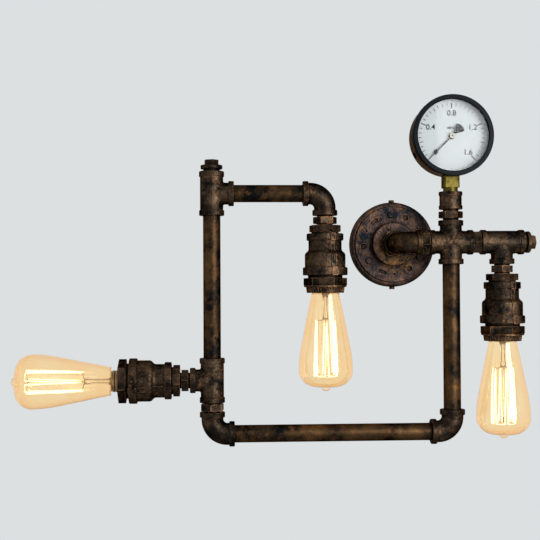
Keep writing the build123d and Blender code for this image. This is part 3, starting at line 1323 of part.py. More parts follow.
make_bushings()
make_sockets()
for side, lamp_axis in LAMP_AXES.items():
    make_reducer(f"{side}_reducer", lamp_axis)
    make_holder_nut(f"{side}_holder_nut", lamp_axis, HOLDER_TURNS[side])
    make_bulb_contact(f"{side}_bulb_contact", lamp_axis)
    make_bulb_cap(f"{side}_bulb_cap", lamp_axis)
    make_bulb_glass(f"{side}_bulb_glass", lamp_axis)
make_bulb_mounts()
make_knurled_rings()

make_gauge_coupling()
make_gauge_socket()
make_gauge_case()
make_bezel()
make_pointer()
make_sector_gear()
make_movement_frame()
make_gauge_link()
make_bourdon_tube()

lamp_ends = {side: axis.origin + axis.z_dir * PORCELAIN_AT for side, axis in LAMP_AXES.items()}
loop = [CROSS, LOWER_RIGHT_ELBOW, LOWER_LEFT_ELBOW]
make_lead("right_lead", lead_corners(0, LEAD_LIFT, [RIGHT_TEE + UP * LEAD_LIFT, lamp_ends["right"]]))
make_lead("left_lead", lead_corners(LEAD_SPACING, 0, [*loop, LEFT_TEE, lamp_ends["left"]]))
middle_bends = [*loop, TOP_LEFT_TEE, MIDDLE_ELBOW, lamp_ends["middle"]]
make_lead("middle_lead", lead_corners(-LEAD_SPACING, 0, middle_bends))
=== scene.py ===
"""Looks of the industrial pipe wall light: aged bronze pipework, three amber bulbs and a dial gauge."""
import math

import bmesh
import bpy
from mathutils import Matrix, Vector


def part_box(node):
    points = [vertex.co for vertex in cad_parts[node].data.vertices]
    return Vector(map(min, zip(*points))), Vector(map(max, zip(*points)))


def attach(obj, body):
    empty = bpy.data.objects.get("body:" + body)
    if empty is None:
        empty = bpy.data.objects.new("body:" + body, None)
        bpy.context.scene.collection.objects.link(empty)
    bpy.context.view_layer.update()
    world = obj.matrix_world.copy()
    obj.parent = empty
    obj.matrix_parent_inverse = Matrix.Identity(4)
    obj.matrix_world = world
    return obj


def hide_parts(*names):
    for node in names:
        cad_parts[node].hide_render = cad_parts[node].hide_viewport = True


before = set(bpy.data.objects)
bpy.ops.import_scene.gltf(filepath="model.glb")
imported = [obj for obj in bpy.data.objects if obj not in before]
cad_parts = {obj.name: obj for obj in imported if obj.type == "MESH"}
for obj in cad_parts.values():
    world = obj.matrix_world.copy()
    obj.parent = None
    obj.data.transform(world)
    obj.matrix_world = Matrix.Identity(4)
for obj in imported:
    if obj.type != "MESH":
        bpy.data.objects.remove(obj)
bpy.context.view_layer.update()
MM = 0.001

# ---- Camera -----------------------------------------------------------------------------
CAMERA_AT = (-0.22903, -1.35512, -0.06307)
CAMERA_YAW = math.radians(3.1218)
CAMERA_PITCH = math.radians(1.3308)
CAMERA_ROLL = math.radians(-0.29357)
LENS = 71.08
SENSOR = 36.0
CLIP_START = 0.01


def place_camera():
    """The photograph's view: from the left of the lamp, a little low, turned slightly to the right."""
    level = math.cos(CAMERA_PITCH)
    ahead = Vector((math.sin(CAMERA_YAW) * level, math.cos(CAMERA_YAW) * level, math.sin(CAMERA_PITCH)))
    right = Vector((math.cos(CAMERA_YAW), -math.sin(CAMERA_YAW), 0))
    upright = Matrix((right, right.cross(ahead), -ahead)).transposed()
    camera = bpy.data.objects.new("camera", bpy.data.cameras.new("camera"))
    camera.data.lens = LENS
    camera.data.sensor_width = SENSOR
    camera.data.clip_start = CLIP_START
    turned = upright @ Matrix.Rotation(CAMERA_ROLL, 3, "Z")
    camera.matrix_world = Matrix.Translation(CAMERA_AT) @ turned.to_4x4()
    bpy.context.scene.collection.objects.link(camera)
    bpy.context.scene.camera = camera


# ---- Studio -----------------------------------------------------------------------------
BACKDROP = (0.716, 0.745, 0.753, 1)
ROOM_LIGHT = (0.90, 0.95, 1.0, 1)
ROOM_LEVEL = 0.42
FLOOR_AT = (-0.1, -0.05, -0.62)
FLOOR_RADIUS = 0.9
FLOOR_SIDES = 96
KEY_AT = (0.655, -1.22, 0.10)
KEY_AIM = (-0.05, -0.06, 0.0)
KEY_WIDTH = 0.75
KEY_HEIGHT = 0.8
KEY_POWER = 14.0
KEY_TINT = (1.0, 0.98, 0.95)


def light_world():
    """A pale backdrop for the eye, the metal and the glass, and a lower even light for the rest."""
    world = bpy.data.worlds.new("studio")
    world.use_nodes = True
    bpy.context.scene.world = world
    tree = world.node_tree
    room = tree.nodes["Background"]
    room.inputs["Color"].default_value = ROOM_LIGHT
    room.inputs["Strength"].default_value = ROOM_LEVEL
    seen = node(tree, "ShaderNodeBackground", {"Color": BACKDROP, "Strength": 1.0})
    ray = node(tree, "ShaderNodeLightPath")
    sharp = node(tree, "ShaderNodeMath", operation="MAXIMUM")
    either = node(tree, "ShaderNodeMath", operation="MAXIMUM")
    mix = node(tree, "ShaderNodeMixShader")
    link(tree, ray, "Is Camera Ray", sharp, 0)
    link(tree, ray, "Is Glossy Ray", sharp, 1)
    link(tree, sharp, 0, either, 0)
    link(tree, ray, "Is Transmission Ray", either, 1)
    link(tree, either, 0, mix, 0)
    link(tree, room, 0, mix, 1)
    link(tree, seen, 0, mix, 2)
    link(tree, mix, 0, tree.nodes["World Output"], "Surface")


def hang_key():
    """A large soft lamp on the right that faces the middle of the object."""
    light = bpy.data.lights.new("key", "AREA")
    light.shape = "RECTANGLE"
    light.size = KEY_WIDTH
    light.size_y = KEY_HEIGHT
    light.energy = KEY_POWER
    light.color = KEY_TINT
    lamp = bpy.data.objects.new("key", light)
    lamp.location = KEY_AT
    lamp.rotation_euler = (Vector(KEY_AIM) - lamp.location).to_track_quat("-Z", "Y").to_euler()
    bpy.context.scene.collection.objects.link(lamp)


def lay_floor():
    """A plain pale floor well below the lamp."""
    form = bmesh.new()
    bmesh.ops.create_circle(form, cap_ends=True, segments=FLOOR_SIDES, radius=FLOOR_RADIUS)
    floor = piece("floor", form, floor_paint())
    floor.location = FLOOR_AT


# ---- Node helpers -----------------------------------------------------------------------
def node(tree, kind, values=None, **settings):
    """A new node; values are its sockets' and settings its own properties."""
    made = tree.nodes.new(kind)
    for key, value in settings.items():
        setattr(made, key, value)
    for socket, value in (values or {}).items():
        made.inputs[socket].default_value = value
    return made


def link(tree, source, output, target, socket):
    tree.links.new(source.outputs[output], target.inputs[socket])


def new_group(name, inputs, outputs):
    """An empty node group; inputs map a socket's name to its kind and default, outputs to its kind."""
    tree = bpy.data.node_groups.new(name, "ShaderNodeTree")
    for label, (kind, value) in inputs.items():
        tree.interface.new_socket(name=label, in_out="INPUT", socket_type=kind).default_value = value
    for label, kind in outputs.items():
        tree.interface.new_socket(name=label, in_out="OUTPUT", socket_type=kind)
    return tree, node(tree, "NodeGroupInput"), node(tree, "NodeGroupOutput")


COLOUR = "NodeSocketColor"
VALUE = "NodeSocketFloat"


def noise(tree, place, scale, detail, rough=0.55):
    made = node(tree, "ShaderNodeTexNoise", {"Detail": detail, "Roughness": rough})
    link(tree, place, 0, made, "Vector")
    if isinstance(scale, tuple):
        link(tree, *scale, made, "Scale")
    else:
        made.inputs["Scale"].default_value = scale
    return made


def spread(tree, source, output, low, high, bottom=0.0, top=1.0):
    """Stretches a value from low..high to bottom..top, clamped."""
    made = node(tree, "ShaderNodeMapRange",
                {"From Min": low, "From Max": high, "To Min": bottom, "To Max": top})
    link(tree, source, output, made, "Value")
    return made


def blend(tree, factor, first, second):
    """Mixes two colours; first and second are (node, output) or a plain colour."""
    made = node(tree, "ShaderNodeMix", data_type="RGBA")
    link(tree, *factor, made, "Factor")
    for socket, colour in (("A", first), ("B", second)):
        target = [s for s in made.inputs if s.name == socket and s.type == "RGBA"][0]
        if len(colour) == 2:
            tree.links.new(colour[0].outputs[colour[1]], target)
        else:
            target.default_value = colour
    return made


def mixed(made):
    """The colour output of a blend, as (node, index)."""
    return made, [s.type for s in made.outputs].index("RGBA")


def object_place(tree):
    made = node(tree, "ShaderNodeTexCoord")
    reroute = node(tree, "NodeReroute")
    link(tree, made, "Object", reroute, 0)
    return reroute


# ---- Shared effects ---------------------------------------------------------------------
SPOTS_TO_CLOUDS = 3.1
DUSK_TO_CLOUDS = 0.37
DUSK_DEPTH = 0.85
SHINY_SPOT = 0.26
DULL_SPOT = 0.50
FLAT_FACE = 0.995
WORN_EDGE = 0.90
WEAR_PATCHES = 160.0
OPEN_PLACE = 0.92
CLOSED_PLACE = 0.45


def bronze_mottle_group():
    """Dark patina with brown clouds and copper spots, and the dull and shiny patches that go with them."""
    tree, inside, outside = new_group(
        "Bronze mottle",
        {"Dark": (COLOUR, (0.012, 0.010, 0.008, 1)), "Brown": (COLOUR, (0.09, 0.052, 0.03, 1)),
         "Copper": (COLOUR, (0.36, 0.15, 0.06, 1)), "Scale": (VALUE, 40.0), "Copper share": (VALUE, 0.25)},
        {"Color": COLOUR, "Roughness": VALUE})
    place = object_place(tree)
    clouds = noise(tree, place, (inside, "Scale"), 8.0, 0.72)
    cloud_mask = spread(tree, clouds, 0, 0.40, 0.66)
    finer = node(tree, "ShaderNodeMath", {1: SPOTS_TO_CLOUDS}, operation="MULTIPLY")
    link(tree, inside, "Scale", finer, 0)
    spots = noise(tree, place, (finer, 0), 8.0, 0.75)
    spot_mask = spread(tree, spots, 0, 0.54, 0.70)
    amount = node(tree, "ShaderNodeMath", operation="MULTIPLY")
    link(tree, spot_mask, 0, amount, 0)
    link(tree, inside, "Copper share", amount, 1)
    base = blend(tree, (cloud_mask, 0), (inside, "Dark"), (inside, "Brown"))
    spotted = blend(tree, (amount, 0), mixed(base), (inside, "Copper"))
    wider = node(tree, "ShaderNodeMath", {1: DUSK_TO_CLOUDS}, operation="MULTIPLY")
    link(tree, inside, "Scale", wider, 0)
    broad = noise(tree, place, (wider, 0), 5.0, 0.6)
    dusk = spread(tree, broad, 0, 0.48, 0.64, 0.0, DUSK_DEPTH)
    aged = blend(tree, (dusk, 0), mixed(spotted), (inside, "Dark"))
    shine = spread(tree, spots, 0, 0.3, 0.7, SHINY_SPOT, DULL_SPOT)
    link(tree, *mixed(aged), outside, "Color")
    link(tree, shine, 0, outside, "Roughness")
    return tree


def edge_rub_group():
    """Where handling has rubbed the patina off outer edges, broken up by noise."""
    tree, inside, outside = new_group(
        "Edge rub",
        {"Color": (COLOUR, (0.05, 0.04, 0.03, 1)), "Bare": (COLOUR, (0.5, 0.24, 0.11, 1)),
         "Width": (VALUE, 0.0009), "Strength": (VALUE, 0.7)},
        {"Color": COLOUR})
    place = object_place(tree)
    rounded = node(tree, "ShaderNodeBevel", samples=4)
    link(tree, inside, "Width", rounded, "Radius")
    solid = node(tree, "ShaderNodeNewGeometry")
    agree = node(tree, "ShaderNodeVectorMath", operation="DOT_PRODUCT")
    link(tree, rounded, 0, agree, 0)
    link(tree, solid, "Normal", agree, 1)
    edge = spread(tree, agree, "Value", FLAT_FACE, WORN_EDGE)
    patches = spread(tree, noise(tree, place, WEAR_PATCHES, 4.0), 0, 0.38, 0.62)
    broken = node(tree, "ShaderNodeMath", operation="MULTIPLY")
    link(tree, edge, 0, broken, 0)
    link(tree, patches, 0, broken, 1)
    amount = node(tree, "ShaderNodeMath", operation="MULTIPLY")
    link(tree, broken, 0, amount, 0)
    link(tree, inside, "Strength", amount, 1)
    rubbed = blend(tree, (amount, 0), (inside, "Color"), (inside, "Bare"))
    link(tree, *mixed(rubbed), outside, "Color")
    return tree


def cavity_shade_group():
    """Painted shade: darkens the colour in corners, gaps and recesses that ambient occlusion finds closed in.
    """
    tree, inside, outside = new_group(
        "Cavity shade",
        {"Color": (COLOUR, (0.05, 0.04, 0.03, 1)), "Painted shade": (COLOUR, (0.004, 0.0035, 0.003, 1)),
         "Reach": (VALUE, 0.008), "Strength": (VALUE, 0.85)},
        {"Color": COLOUR})
    open_sky = node(tree, "ShaderNodeAmbientOcclusion", samples=6)
    link(tree, inside, "Reach", open_sky, "Distance")
    closed = spread(tree, open_sky, "AO", OPEN_PLACE, CLOSED_PLACE)
    amount = node(tree, "ShaderNodeMath", operation="MULTIPLY")
    link(tree, closed, 0, amount, 0)
    link(tree, inside, "Strength", amount, 1)
    # painted shade: the colour goes towards a near black where the surface is closed in
    shaded = blend(tree, (amount, 0), (inside, "Color"), (inside, "Painted shade"))
    link(tree, *mixed(shaded), outside, "Color")
    return tree


def fine_grain_group():
    """Small pits and bumps of a cast, painted or moulded skin."""
    tree, inside, outside = new_group(
        "Fine grain", {"Scale": (VALUE, 900.0)}, {"Height": VALUE})
    place = object_place(tree)
    grain = noise(tree, place, (inside, "Scale"), 3.0, 0.6)
    link(tree, grain, 0, outside, "Height")
    return tree


EFFECTS = {}


def effect(tree, name, values):
    """Places one of the shared effects in a material."""
    made = node(tree, "ShaderNodeGroup")
    made.node_tree = EFFECTS[name]
    for socket, value in values.items():
        made.inputs[socket].default_value = value
    return made


# ---- Materials --------------------------------------------------------------------------
EDGE_TINT = (0.30, 0.26, 0.22, 1)
DARK = (0.006, 0.0065, 0.0065, 1)
BROWN = (0.105, 0.066, 0.040, 1)
COPPER = (0.42, 0.19, 0.085, 1)
PIPE_BROWN = (0.12, 0.063, 0.027, 1)
ORANGE = (0.42, 0.17, 0.045, 1)
BLUE_BLACK = (0.006, 0.0085, 0.012, 1)
ROSE_BROWN = (0.118, 0.068, 0.048, 1)
# painted highlight: the lit gold, place and size of a soft patch a little right of and below the canopy's
# middle
LIT_GOLD = (0.62, 0.28, 0.055, 1)
LIT_PATCH_OFFSET = (0.003, 0, -0.010)
LIT_PATCH_CORE = 0.014
LIT_PATCH_REACH = 0.029
ELBOW_GOLD = (0.105, 0.062, 0.032, 1)
CASE_GREY = (0.075, 0.066, 0.062, 1)
CASE_COPPER = (0.30, 0.17, 0.10, 1)
ENAMEL = ((0.005, 0.006, 0.007, 1), (0.007, 0.008, 0.009, 1))
ZINC = ((0.62, 0.62, 0.60, 1), (0.48, 0.49, 0.49, 1))
PORCELAIN = ((0.86, 0.84, 0.79, 1), (0.80, 0.77, 0.71, 1))
TERMINAL_WHITE = ((0.84, 0.82, 0.76, 1), (0.79, 0.77, 0.70, 1))
CONTACT_BRASS = ((0.80, 0.60, 0.28, 1), (0.66, 0.46, 0.19, 1))
CAP_BRASS = ((0.40, 0.27, 0.14, 1), (0.16, 0.10, 0.06, 1))
GAUGE_BRASS = ((0.125, 0.10, 0.022, 1), (0.05, 0.038, 0.009, 1))
SUPPORT_METAL = ((0.45, 0.26, 0.12, 1), (0.25, 0.13, 0.06, 1))
DIAL_WHITE = ((0.90, 0.96, 0.98, 1), (0.87, 0.94, 0.97, 1))
DIAL_INK = ((0.02, 0.02, 0.022, 1), (0.03, 0.03, 0.032, 1))
POINTER_PAINT = ((0.035, 0.042, 0.05, 1), (0.02, 0.025, 0.03, 1))
CAP_CREAM = ((0.86, 0.80, 0.64, 1), (0.80, 0.73, 0.56, 1))
LEAD_SHEATH = ((0.03, 0.03, 0.03, 1), (0.02, 0.02, 0.02, 1))
FLOOR_WHITE = ((0.74, 0.75, 0.76, 1), (0.71, 0.73, 0.74, 1))
AMBER = ((1.0, 0.91, 0.72, 1), (1.0, 0.62, 0.25, 1))
# painted glow of the bulb glass, standing in for the filaments' light in it
AMBER_PAINTED_GLOW = ((1.0, 0.66, 0.30, 1), (1.0, 0.38, 0.09, 1))
AMBER_PAINTED_GLOW_STRENGTH = 0.045
WINDOW_SMEARS = ((0.020, 0.028, 0.032, 1), (0.032, 0.040, 0.044, 1))
WINDOW_ALPHA = 0.09
STEM_GLASS = (1.0, 0.95, 0.86, 1)
FILAMENT_COLD = (0.9, 0.6, 0.3, 1)
FILAMENT_HEAT = ((1.0, 0.86, 0.56, 1), (1.0, 0.76, 0.42, 1))
FILAMENT_STRENGTH = 3.2


def new_material(name, values):
    material = bpy.data.materials.new(name)
    material.use_nodes = True
    shader = material.node_tree.nodes["Principled BSDF"]
    for socket, value in values.items():
        shader.inputs[socket].default_value = value
    return material, material.node_tree, shader


def raise_surface(tree, shader, source, output, depth, strength):
    bump = node(tree, "ShaderNodeBump", {"Distance": depth, "Strength": strength})
    link(tree, source, output, bump, "Height")
    link(tree, bump, 0, shader, "Normal")


def bronze(name, colours, scale, share, rub, grain, depth):
    """Aged bronze; colours are the dark, brown and copper of its patina, and depth is that of its grain."""
    material, tree, shader = new_material(name, {"Metallic": 1.0, "Specular Tint": EDGE_TINT})
    dark, brown, copper = colours
    patina = effect(tree, "mottle", {"Dark": dark, "Brown": brown, "Copper": copper,
                                     "Scale": scale, "Copper share": share})
    wear = effect(tree, "rub", {"Strength": rub})
    # painted shade darkens the patina in corners, gaps and recesses
    painted_shade = effect(tree, "cavity", {})
    link(tree, patina, "Color", wear, "Color")
    link(tree, wear, "Color", painted_shade, "Color")
    link(tree, painted_shade, "Color", shader, "Base Color")
    link(tree, patina, "Roughness", shader, "Roughness")
    raise_surface(tree, shader, effect(tree, "grain", {"Scale": grain}), "Height", depth, 0.8)
    return material


def paint_lit_patch(material, rim_node):
    """Paints a highlight: turns the brown of a patina to a lit gold in a soft round patch beside the middle
    of a node, where light falls on its raised middle.
    """
    tree = material.node_tree
    patina = [n for n in tree.nodes if n.type == "GROUP" and "Brown" in n.inputs][0]
    low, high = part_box(rim_node)
    middle = (low + high) / 2 + Vector(LIT_PATCH_OFFSET)
    flat = node(tree, "ShaderNodeVectorMath", {1: (1, 0, 1)}, operation="MULTIPLY")
    link(tree, object_place(tree), 0, flat, 0)
    reach = node(tree, "ShaderNodeVectorMath", {1: (middle.x, 0, middle.z)}, operation="DISTANCE")
    link(tree, flat, 0, reach, 0)
    patch = spread(tree, reach, "Value", LIT_PATCH_CORE, LIT_PATCH_REACH, 1.0, 0.0)
    tone = blend(tree, (patch, 0), tuple(patina.inputs["Brown"].default_value), LIT_GOLD)
    link(tree, *mixed(tone), patina, "Brown")


def plated(name, colours, rough, scale, tint=(1, 1, 1, 1)):
    """A bright, plated or blackened metal, a little uneven in colour and shine."""
    material, tree, shader = new_material(name, {"Metallic": 1.0, "Specular Tint": tint})
    place = object_place(tree)
    clouds = noise(tree, place, scale, 5.0)
    tone = blend(tree, (spread(tree, clouds, 0, 0.35, 0.68), 0), *colours)
    link(tree, *mixed(tone), shader, "Base Color")
    link(tree, spread(tree, clouds, 0, 0.3, 0.7, rough, rough + 0.15), 0, shader, "Roughness")
    raise_surface(tree, shader, effect(tree, "grain", {"Scale": 1500.0}), "Height", 0.0001, 0.35)
    return material


def moulded(name, colours, rough, scale=60.0, coat=0.0, gloss=0.5):
    """A plain coated, glazed or moulded surface with faint clouds."""
    material, tree, shader = new_material(
        name, {"Metallic": 0.0, "Coat Weight": coat, "Specular IOR Level": gloss})
    place = object_place(tree)
    clouds = noise(tree, place, scale, 4.0)
    tone = blend(tree, (spread(tree, clouds, 0, 0.35, 0.7), 0), *colours)
    link(tree, *mixed(tone), shader, "Base Color")
    link(tree, spread(tree, clouds, 0, 0.3, 0.7, rough, rough + 0.1), 0, shader, "Roughness")
    raise_surface(tree, shader, effect(tree, "grain", {"Scale": 1200.0}), "Height", 0.0001, 0.3)
    return material


def amber_glass(name):
    """Thin amber glass, deeper in colour where the eye looks along the wall, with a faint painted glow of its
    own in place of the filaments' light shining in it.
    """
    material, tree, shader = new_material(
        name, {"Metallic": 0.0, "Transmission Weight": 1.0, "IOR": 1.5, "Roughness": 0.01,
               "Specular IOR Level": 1.0, "Emission Strength": AMBER_PAINTED_GLOW_STRENGTH})
    facing = node(tree, "ShaderNodeLayerWeight", {"Blend": 0.35})
    steep = spread(tree, facing, "Facing", 0.12, 0.78)
    place = object_place(tree)
    streaks = spread(tree, noise(tree, place, 22.0, 3.0), 0, 0.35, 0.65, 0.0, 0.35)
    amount = node(tree, "ShaderNodeMath", operation="MAXIMUM")
    link(tree, steep, 0, amount, 0)
    link(tree, streaks, 0, amount, 1)
    link(tree, *mixed(blend(tree, (amount, 0), *AMBER)), shader, "Base Color")
    # painted glow on the glass, deeper amber towards its edges
    link(tree, *mixed(blend(tree, (steep, 0), *AMBER_PAINTED_GLOW)), shader, "Emission Color")
    return material


def window_glass():
    """The gauge's flat window: nearly clear, with a pale reflection and faint smears."""
    material, tree, shader = new_material(
        "window glass", {"Metallic": 0.0, "Specular IOR Level": 1.0, "Alpha": WINDOW_ALPHA})
    smears = noise(tree, object_place(tree), 70.0, 4.0)
    tone = blend(tree, (spread(tree, smears, 0, 0.3, 0.7), 0), *WINDOW_SMEARS)
    link(tree, *mixed(tone), shader, "Base Color")
    link(tree, spread(tree, smears, 0, 0.35, 0.7, 0.015, 0.05), 0, shader, "Roughness")
    return material


def clear_glass(name, colour, rough):
    """Plain glass, a little uneven in tone."""
    material, tree, shader = new_material(
        name, {"Metallic": 0.0, "Transmission Weight": 1.0, "IOR": 1.45})
    clouds = noise(tree, object_place(tree), 90.0, 2.0)
    tone = blend(tree, (spread(tree, clouds, 0, 0.3, 0.7), 0), colour, [c * 0.97 for c in colour[:3]] + [1])
    link(tree, *mixed(tone), shader, "Base Color")
    link(tree, spread(tree, clouds, 0, 0.3, 0.7, rough, rough * 1.5), 0, shader, "Roughness")
    return material


def glowing_strand(name):
    """Filament wire at working heat, a little cooler in places."""
    material, tree, shader = new_material(
        name, {"Metallic": 0.0, "Roughness": 0.6, "Base Color": FILAMENT_COLD,
               "Emission Strength": FILAMENT_STRENGTH})
    clouds = noise(tree, object_place(tree), 120.0, 2.0)
    heat = blend(tree, (spread(tree, clouds, 0, 0.35, 0.65), 0), *FILAMENT_HEAT)
    link(tree, *mixed(heat), shader, "Emission Color")
    return material


def floor_paint():
    return moulded("pale floor", FLOOR_WHITE, 0.7, 3.0)


def make_finishes():
    """One finish for every material slot of the part."""
    return {
        "zinc_bracket": plated("zinc plate", ZINC, 0.32, 80.0),
        "porcelain": moulded("white porcelain", PORCELAIN, 0.15, coat=0.6),
        "terminal_plastic": moulded("terminal moulding", TERMINAL_WHITE, 0.45),
        "bronze_casting": bronze("bronze casting", (DARK, BROWN, COPPER), 52.0, 0.45, 0.95, 380.0, 0.0009),
        "bronze_pipe": bronze("bronze pipe", (DARK, PIPE_BROWN, ORANGE), 30.0, 0.36, 0.3, 500.0, 0.0005),
        "bronze_turned": bronze("turned bronze", (DARK, BROWN, COPPER), 60.0, 0.40, 1.0, 800.0, 0.0003),
        "contact_brass": plated("contact brass", CONTACT_BRASS, 0.25, 200.0),
        "cap_brass": plated("cap brass", CAP_BRASS, 0.35, 120.0),
        "amber_glass": amber_glass("amber glass"),
        "filament": glowing_strand("filament"),
        "gauge_brass": plated("gauge brass", GAUGE_BRASS, 0.38, 150.0, EDGE_TINT),
        "gauge_black": plated("bezel enamel", ENAMEL, 0.24, 40.0, EDGE_TINT),
        "window_glass": window_glass(),
        "dial_white": moulded("dial white", DIAL_WHITE, 0.6, gloss=0.1),
        "pointer_black": moulded("pointer paint", POINTER_PAINT, 0.5, gloss=0.2),
        "lead_sheath": moulded("lead sheath", LEAD_SHEATH, 0.55),
    }


def dress_nodes(finishes):
    """Gives each CAD node the finish of its slot."""
    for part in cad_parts.values():
        for slot in part.material_slots:
            slot.material = finishes[slot.material.name.split(".")[0]]
    case_paint = bronze("case enamel", (CASE_GREY, CASE_COPPER, COPPER), 14.0, 0.0, 0.3, 1500.0, 0.0001)
    canopy_bronze = bronze("canopy bronze", (BLUE_BLACK, ROSE_BROWN, ORANGE), 34.0, 0.35, 0.6, 420.0, 0.0007)
    elbow_bronze = bronze("canopy elbow bronze", (DARK, ELBOW_GOLD, ORANGE), 30.0, 0.6, 0.5, 420.0, 0.0006)
    # painted highlight on the lower right of the canopy's raised middle
    paint_lit_patch(canopy_bronze, "canopy_rim")
    for material, names in ((case_paint, ("gauge_case",)), (elbow_bronze, ("wall_elbow",)),
                            (canopy_bronze, ("canopy_face", "canopy_rim", "canopy_bolts"))):
        for name in names:
            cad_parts[name].material_slots[0].material = material


# ---- Mesh helpers -----------------------------------------------------------------------
def piece(name, form, material, smooth=False):
    """Turns a bmesh into an object of the scene."""
    mesh = bpy.data.meshes.new(name)
    bmesh.ops.recalc_face_normals(form, faces=form.faces)
    form.to_mesh(mesh)
    form.free()
    for face in mesh.polygons:
        face.use_smooth = smooth
    mesh.materials.append(material)
    made = bpy.data.objects.new(name, mesh)
    bpy.context.scene.collection.objects.link(made)
    return made


def turn_profile(form, profile, segments):
    """Turns a profile of (radius, height) points in mm around Z."""
    rings = []
    for radius, height in profile:
        if radius == 0:
            rings.append([form.verts.new((0, 0, height * MM))])
            continue
        angles = [2 * math.pi * step / segments for step in range(segments)]
        rings.append([form.verts.new((radius * MM * math.cos(a), radius * MM * math.sin(a), height * MM))
                      for a in angles])
    for low, high in zip(rings, rings[1:]):
        close_rings(form, low, high)


def close_rings(form, low, high):
    """Faces between two rings, either of which may be a single point."""
    count = max(len(low), len(high))
    for step in range(count):
        after = (step + 1) % count
        corners = [low[step % len(low)], low[after % len(low)],
                   high[after % len(high)], high[step % len(high)]]
        unique = list(dict.fromkeys(corners))
        if len(unique) > 2:
            form.faces.new(unique)


def tube(form, points, radius, sides=8):
    """A round wire through the points, in mm."""
    path = [Vector(p) * MM for p in points]
    rings = []
    for index, point in enumerate(path):
        before = path[max(index - 1, 0)]
        after = path[min(index + 1, len(path) - 1)]
        turn = (after - before).to_track_quat("Z", "Y").to_matrix()
        rings.append([form.verts.new(point + turn @ Vector((math.cos(a), math.sin(a), 0)) * radius * MM)
                      for a in (2 * math.pi * side / sides for side in range(sides))])
    for low, high in zip(rings, rings[1:]):
        close_rings(form, low, high)
    form.faces.new(rings[0][::-1])
    form.faces.new(rings[-1])


# ---- Bulbs ------------------------------------------------------------------------------
SIDES = ("left", "middle", "right")
CAGE_FROM = 41.3
CAGE_LENGTH = 67.0
CAGE_TOP_RADIUS = 12.6
CAGE_FOOT_RADIUS = 14.4
HAIRPINS = 6
HAIRPIN_SPREAD = 9.0
CAGE_TURN = 30.0
STRAND_RADIUS = 0.62
LEG_STEPS = 8
LEG_BOW = 0.5
ARC_STEPS = 5
HOOK_RADIUS = 0.25
TOP_HOOK_DROP = 2.5
FOOT_HOOK_RISE = 1.5
STEM_RADIUS = 3.0
ROD_RADIUS = 1.1
ROD_BUTTON = 1.7
WIRE_RADIUS = 0.3
COIL_WIRE_RADIUS = 0.2
COIL_RADIUS = 0.9
COIL_OFFSET = 2.6
COIL_FROM = 35.0
COIL_RISE = 0.28
COIL_ANGLE_STEP = 0.6
COIL_POINTS = 32


def lamp_space(side):
    """A frame on a bulb's axis: Z runs from the open end of the neck to the tip."""
    low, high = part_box(f"{side}_bulb_glass")
    middle = (low + high) / 2
    if side == "left":
        return Matrix.Translation((high.x, middle.y, middle.z)) @ Matrix.Rotation(-math.pi / 2, 4, "Y")
    return Matrix.Translation((middle.x, middle.y, high.z)) @ Matrix.Rotation(math.pi, 4, "X")


def around(radius, degrees, height):
    """A point beside the bulb's axis, in mm."""
    angle = math.radians(degrees)
    return Vector((radius * math.cos(angle), radius * math.sin(angle), height))


def hairpin_angle(index):
    return CAGE_TURN + 360 * index / HAIRPINS


def cage_leg(degrees, lean):
    """Points down one leg of a hairpin, bowed out a little in the middle."""
    top = around(CAGE_TOP_RADIUS, degrees, CAGE_FROM)
    low = around(CAGE_FOOT_RADIUS, degrees + lean, CAGE_FROM + CAGE_LENGTH)
    points = []
    for step in range(LEG_STEPS + 1):
        share = step / LEG_STEPS
        points.append(top.lerp(low, share) + around(LEG_BOW * math.sin(math.pi * share), degrees, 0))
    return points


def cage_wire(form):
    """One wire that runs up and down through the top hooks and along the bottom ones."""
    for index in range(HAIRPINS):
        degrees = hairpin_angle(index)
        near = cage_leg(degrees, -HAIRPIN_SPREAD)
        far = cage_leg(degrees, HAIRPIN_SPREAD)
        tube(form, near[::-1] + far[1:], STRAND_RADIUS)
        if index < HAIRPINS - 1:
            start, end = degrees + HAIRPIN_SPREAD, hairpin_angle(index + 1) - HAIRPIN_SPREAD
            arc = [around(CAGE_FOOT_RADIUS, start + (end - start) * step / ARC_STEPS, CAGE_FROM + CAGE_LENGTH)
                   for step in range(ARC_STEPS + 1)]
            tube(form, arc, STRAND_RADIUS / 2)


def support_wires(form):
    """Hooks on the rod that carry the cage at its top and bottom."""
    foot = CAGE_FROM + CAGE_LENGTH
    for index in range(HAIRPINS):
        top_tip = around(CAGE_TOP_RADIUS, hairpin_angle(index), CAGE_FROM)
        foot_tip = around(CAGE_FOOT_RADIUS, hairpin_angle(index) + HAIRPIN_SPREAD, foot)
        hook(form, CAGE_FROM - TOP_HOOK_DROP, top_tip, 1.0)
        hook(form, foot - FOOT_HOOK_RISE, foot_tip, -1.0)


def hook(form, height, tip, sag):
    """A thin wire from the rod to a bend of the cage."""
    root = Vector((0, 0, height))
    tube(form, [root, root.lerp(tip, 0.5) + Vector((0, 0, sag)), tip], HOOK_RADIUS, 6)


def stem_form(form):
    """The sealed flare, the tube, its flattened press and the rod that the hooks stand on."""
    foot = CAGE_FROM + CAGE_LENGTH
    flare = [(0, 0.3), (9.0, 0.3), (9.6, 1.0), (8.2, 3.0), (5.6, 7.0), (3.8, 11.0)]
    press = [(STEM_RADIUS, 16.0), (STEM_RADIUS, 27.0), (3.6, 31.0), (3.4, 36.0), (2.0, 38.5)]
    rod = [(ROD_RADIUS, 39.5), (ROD_RADIUS, foot - 1.5)]
    button = [(ROD_BUTTON, foot - 1.0), (ROD_BUTTON, foot + 0.6), (0, foot + 1.2)]
    turn_profile(form, flare + press + rod + button, 24)


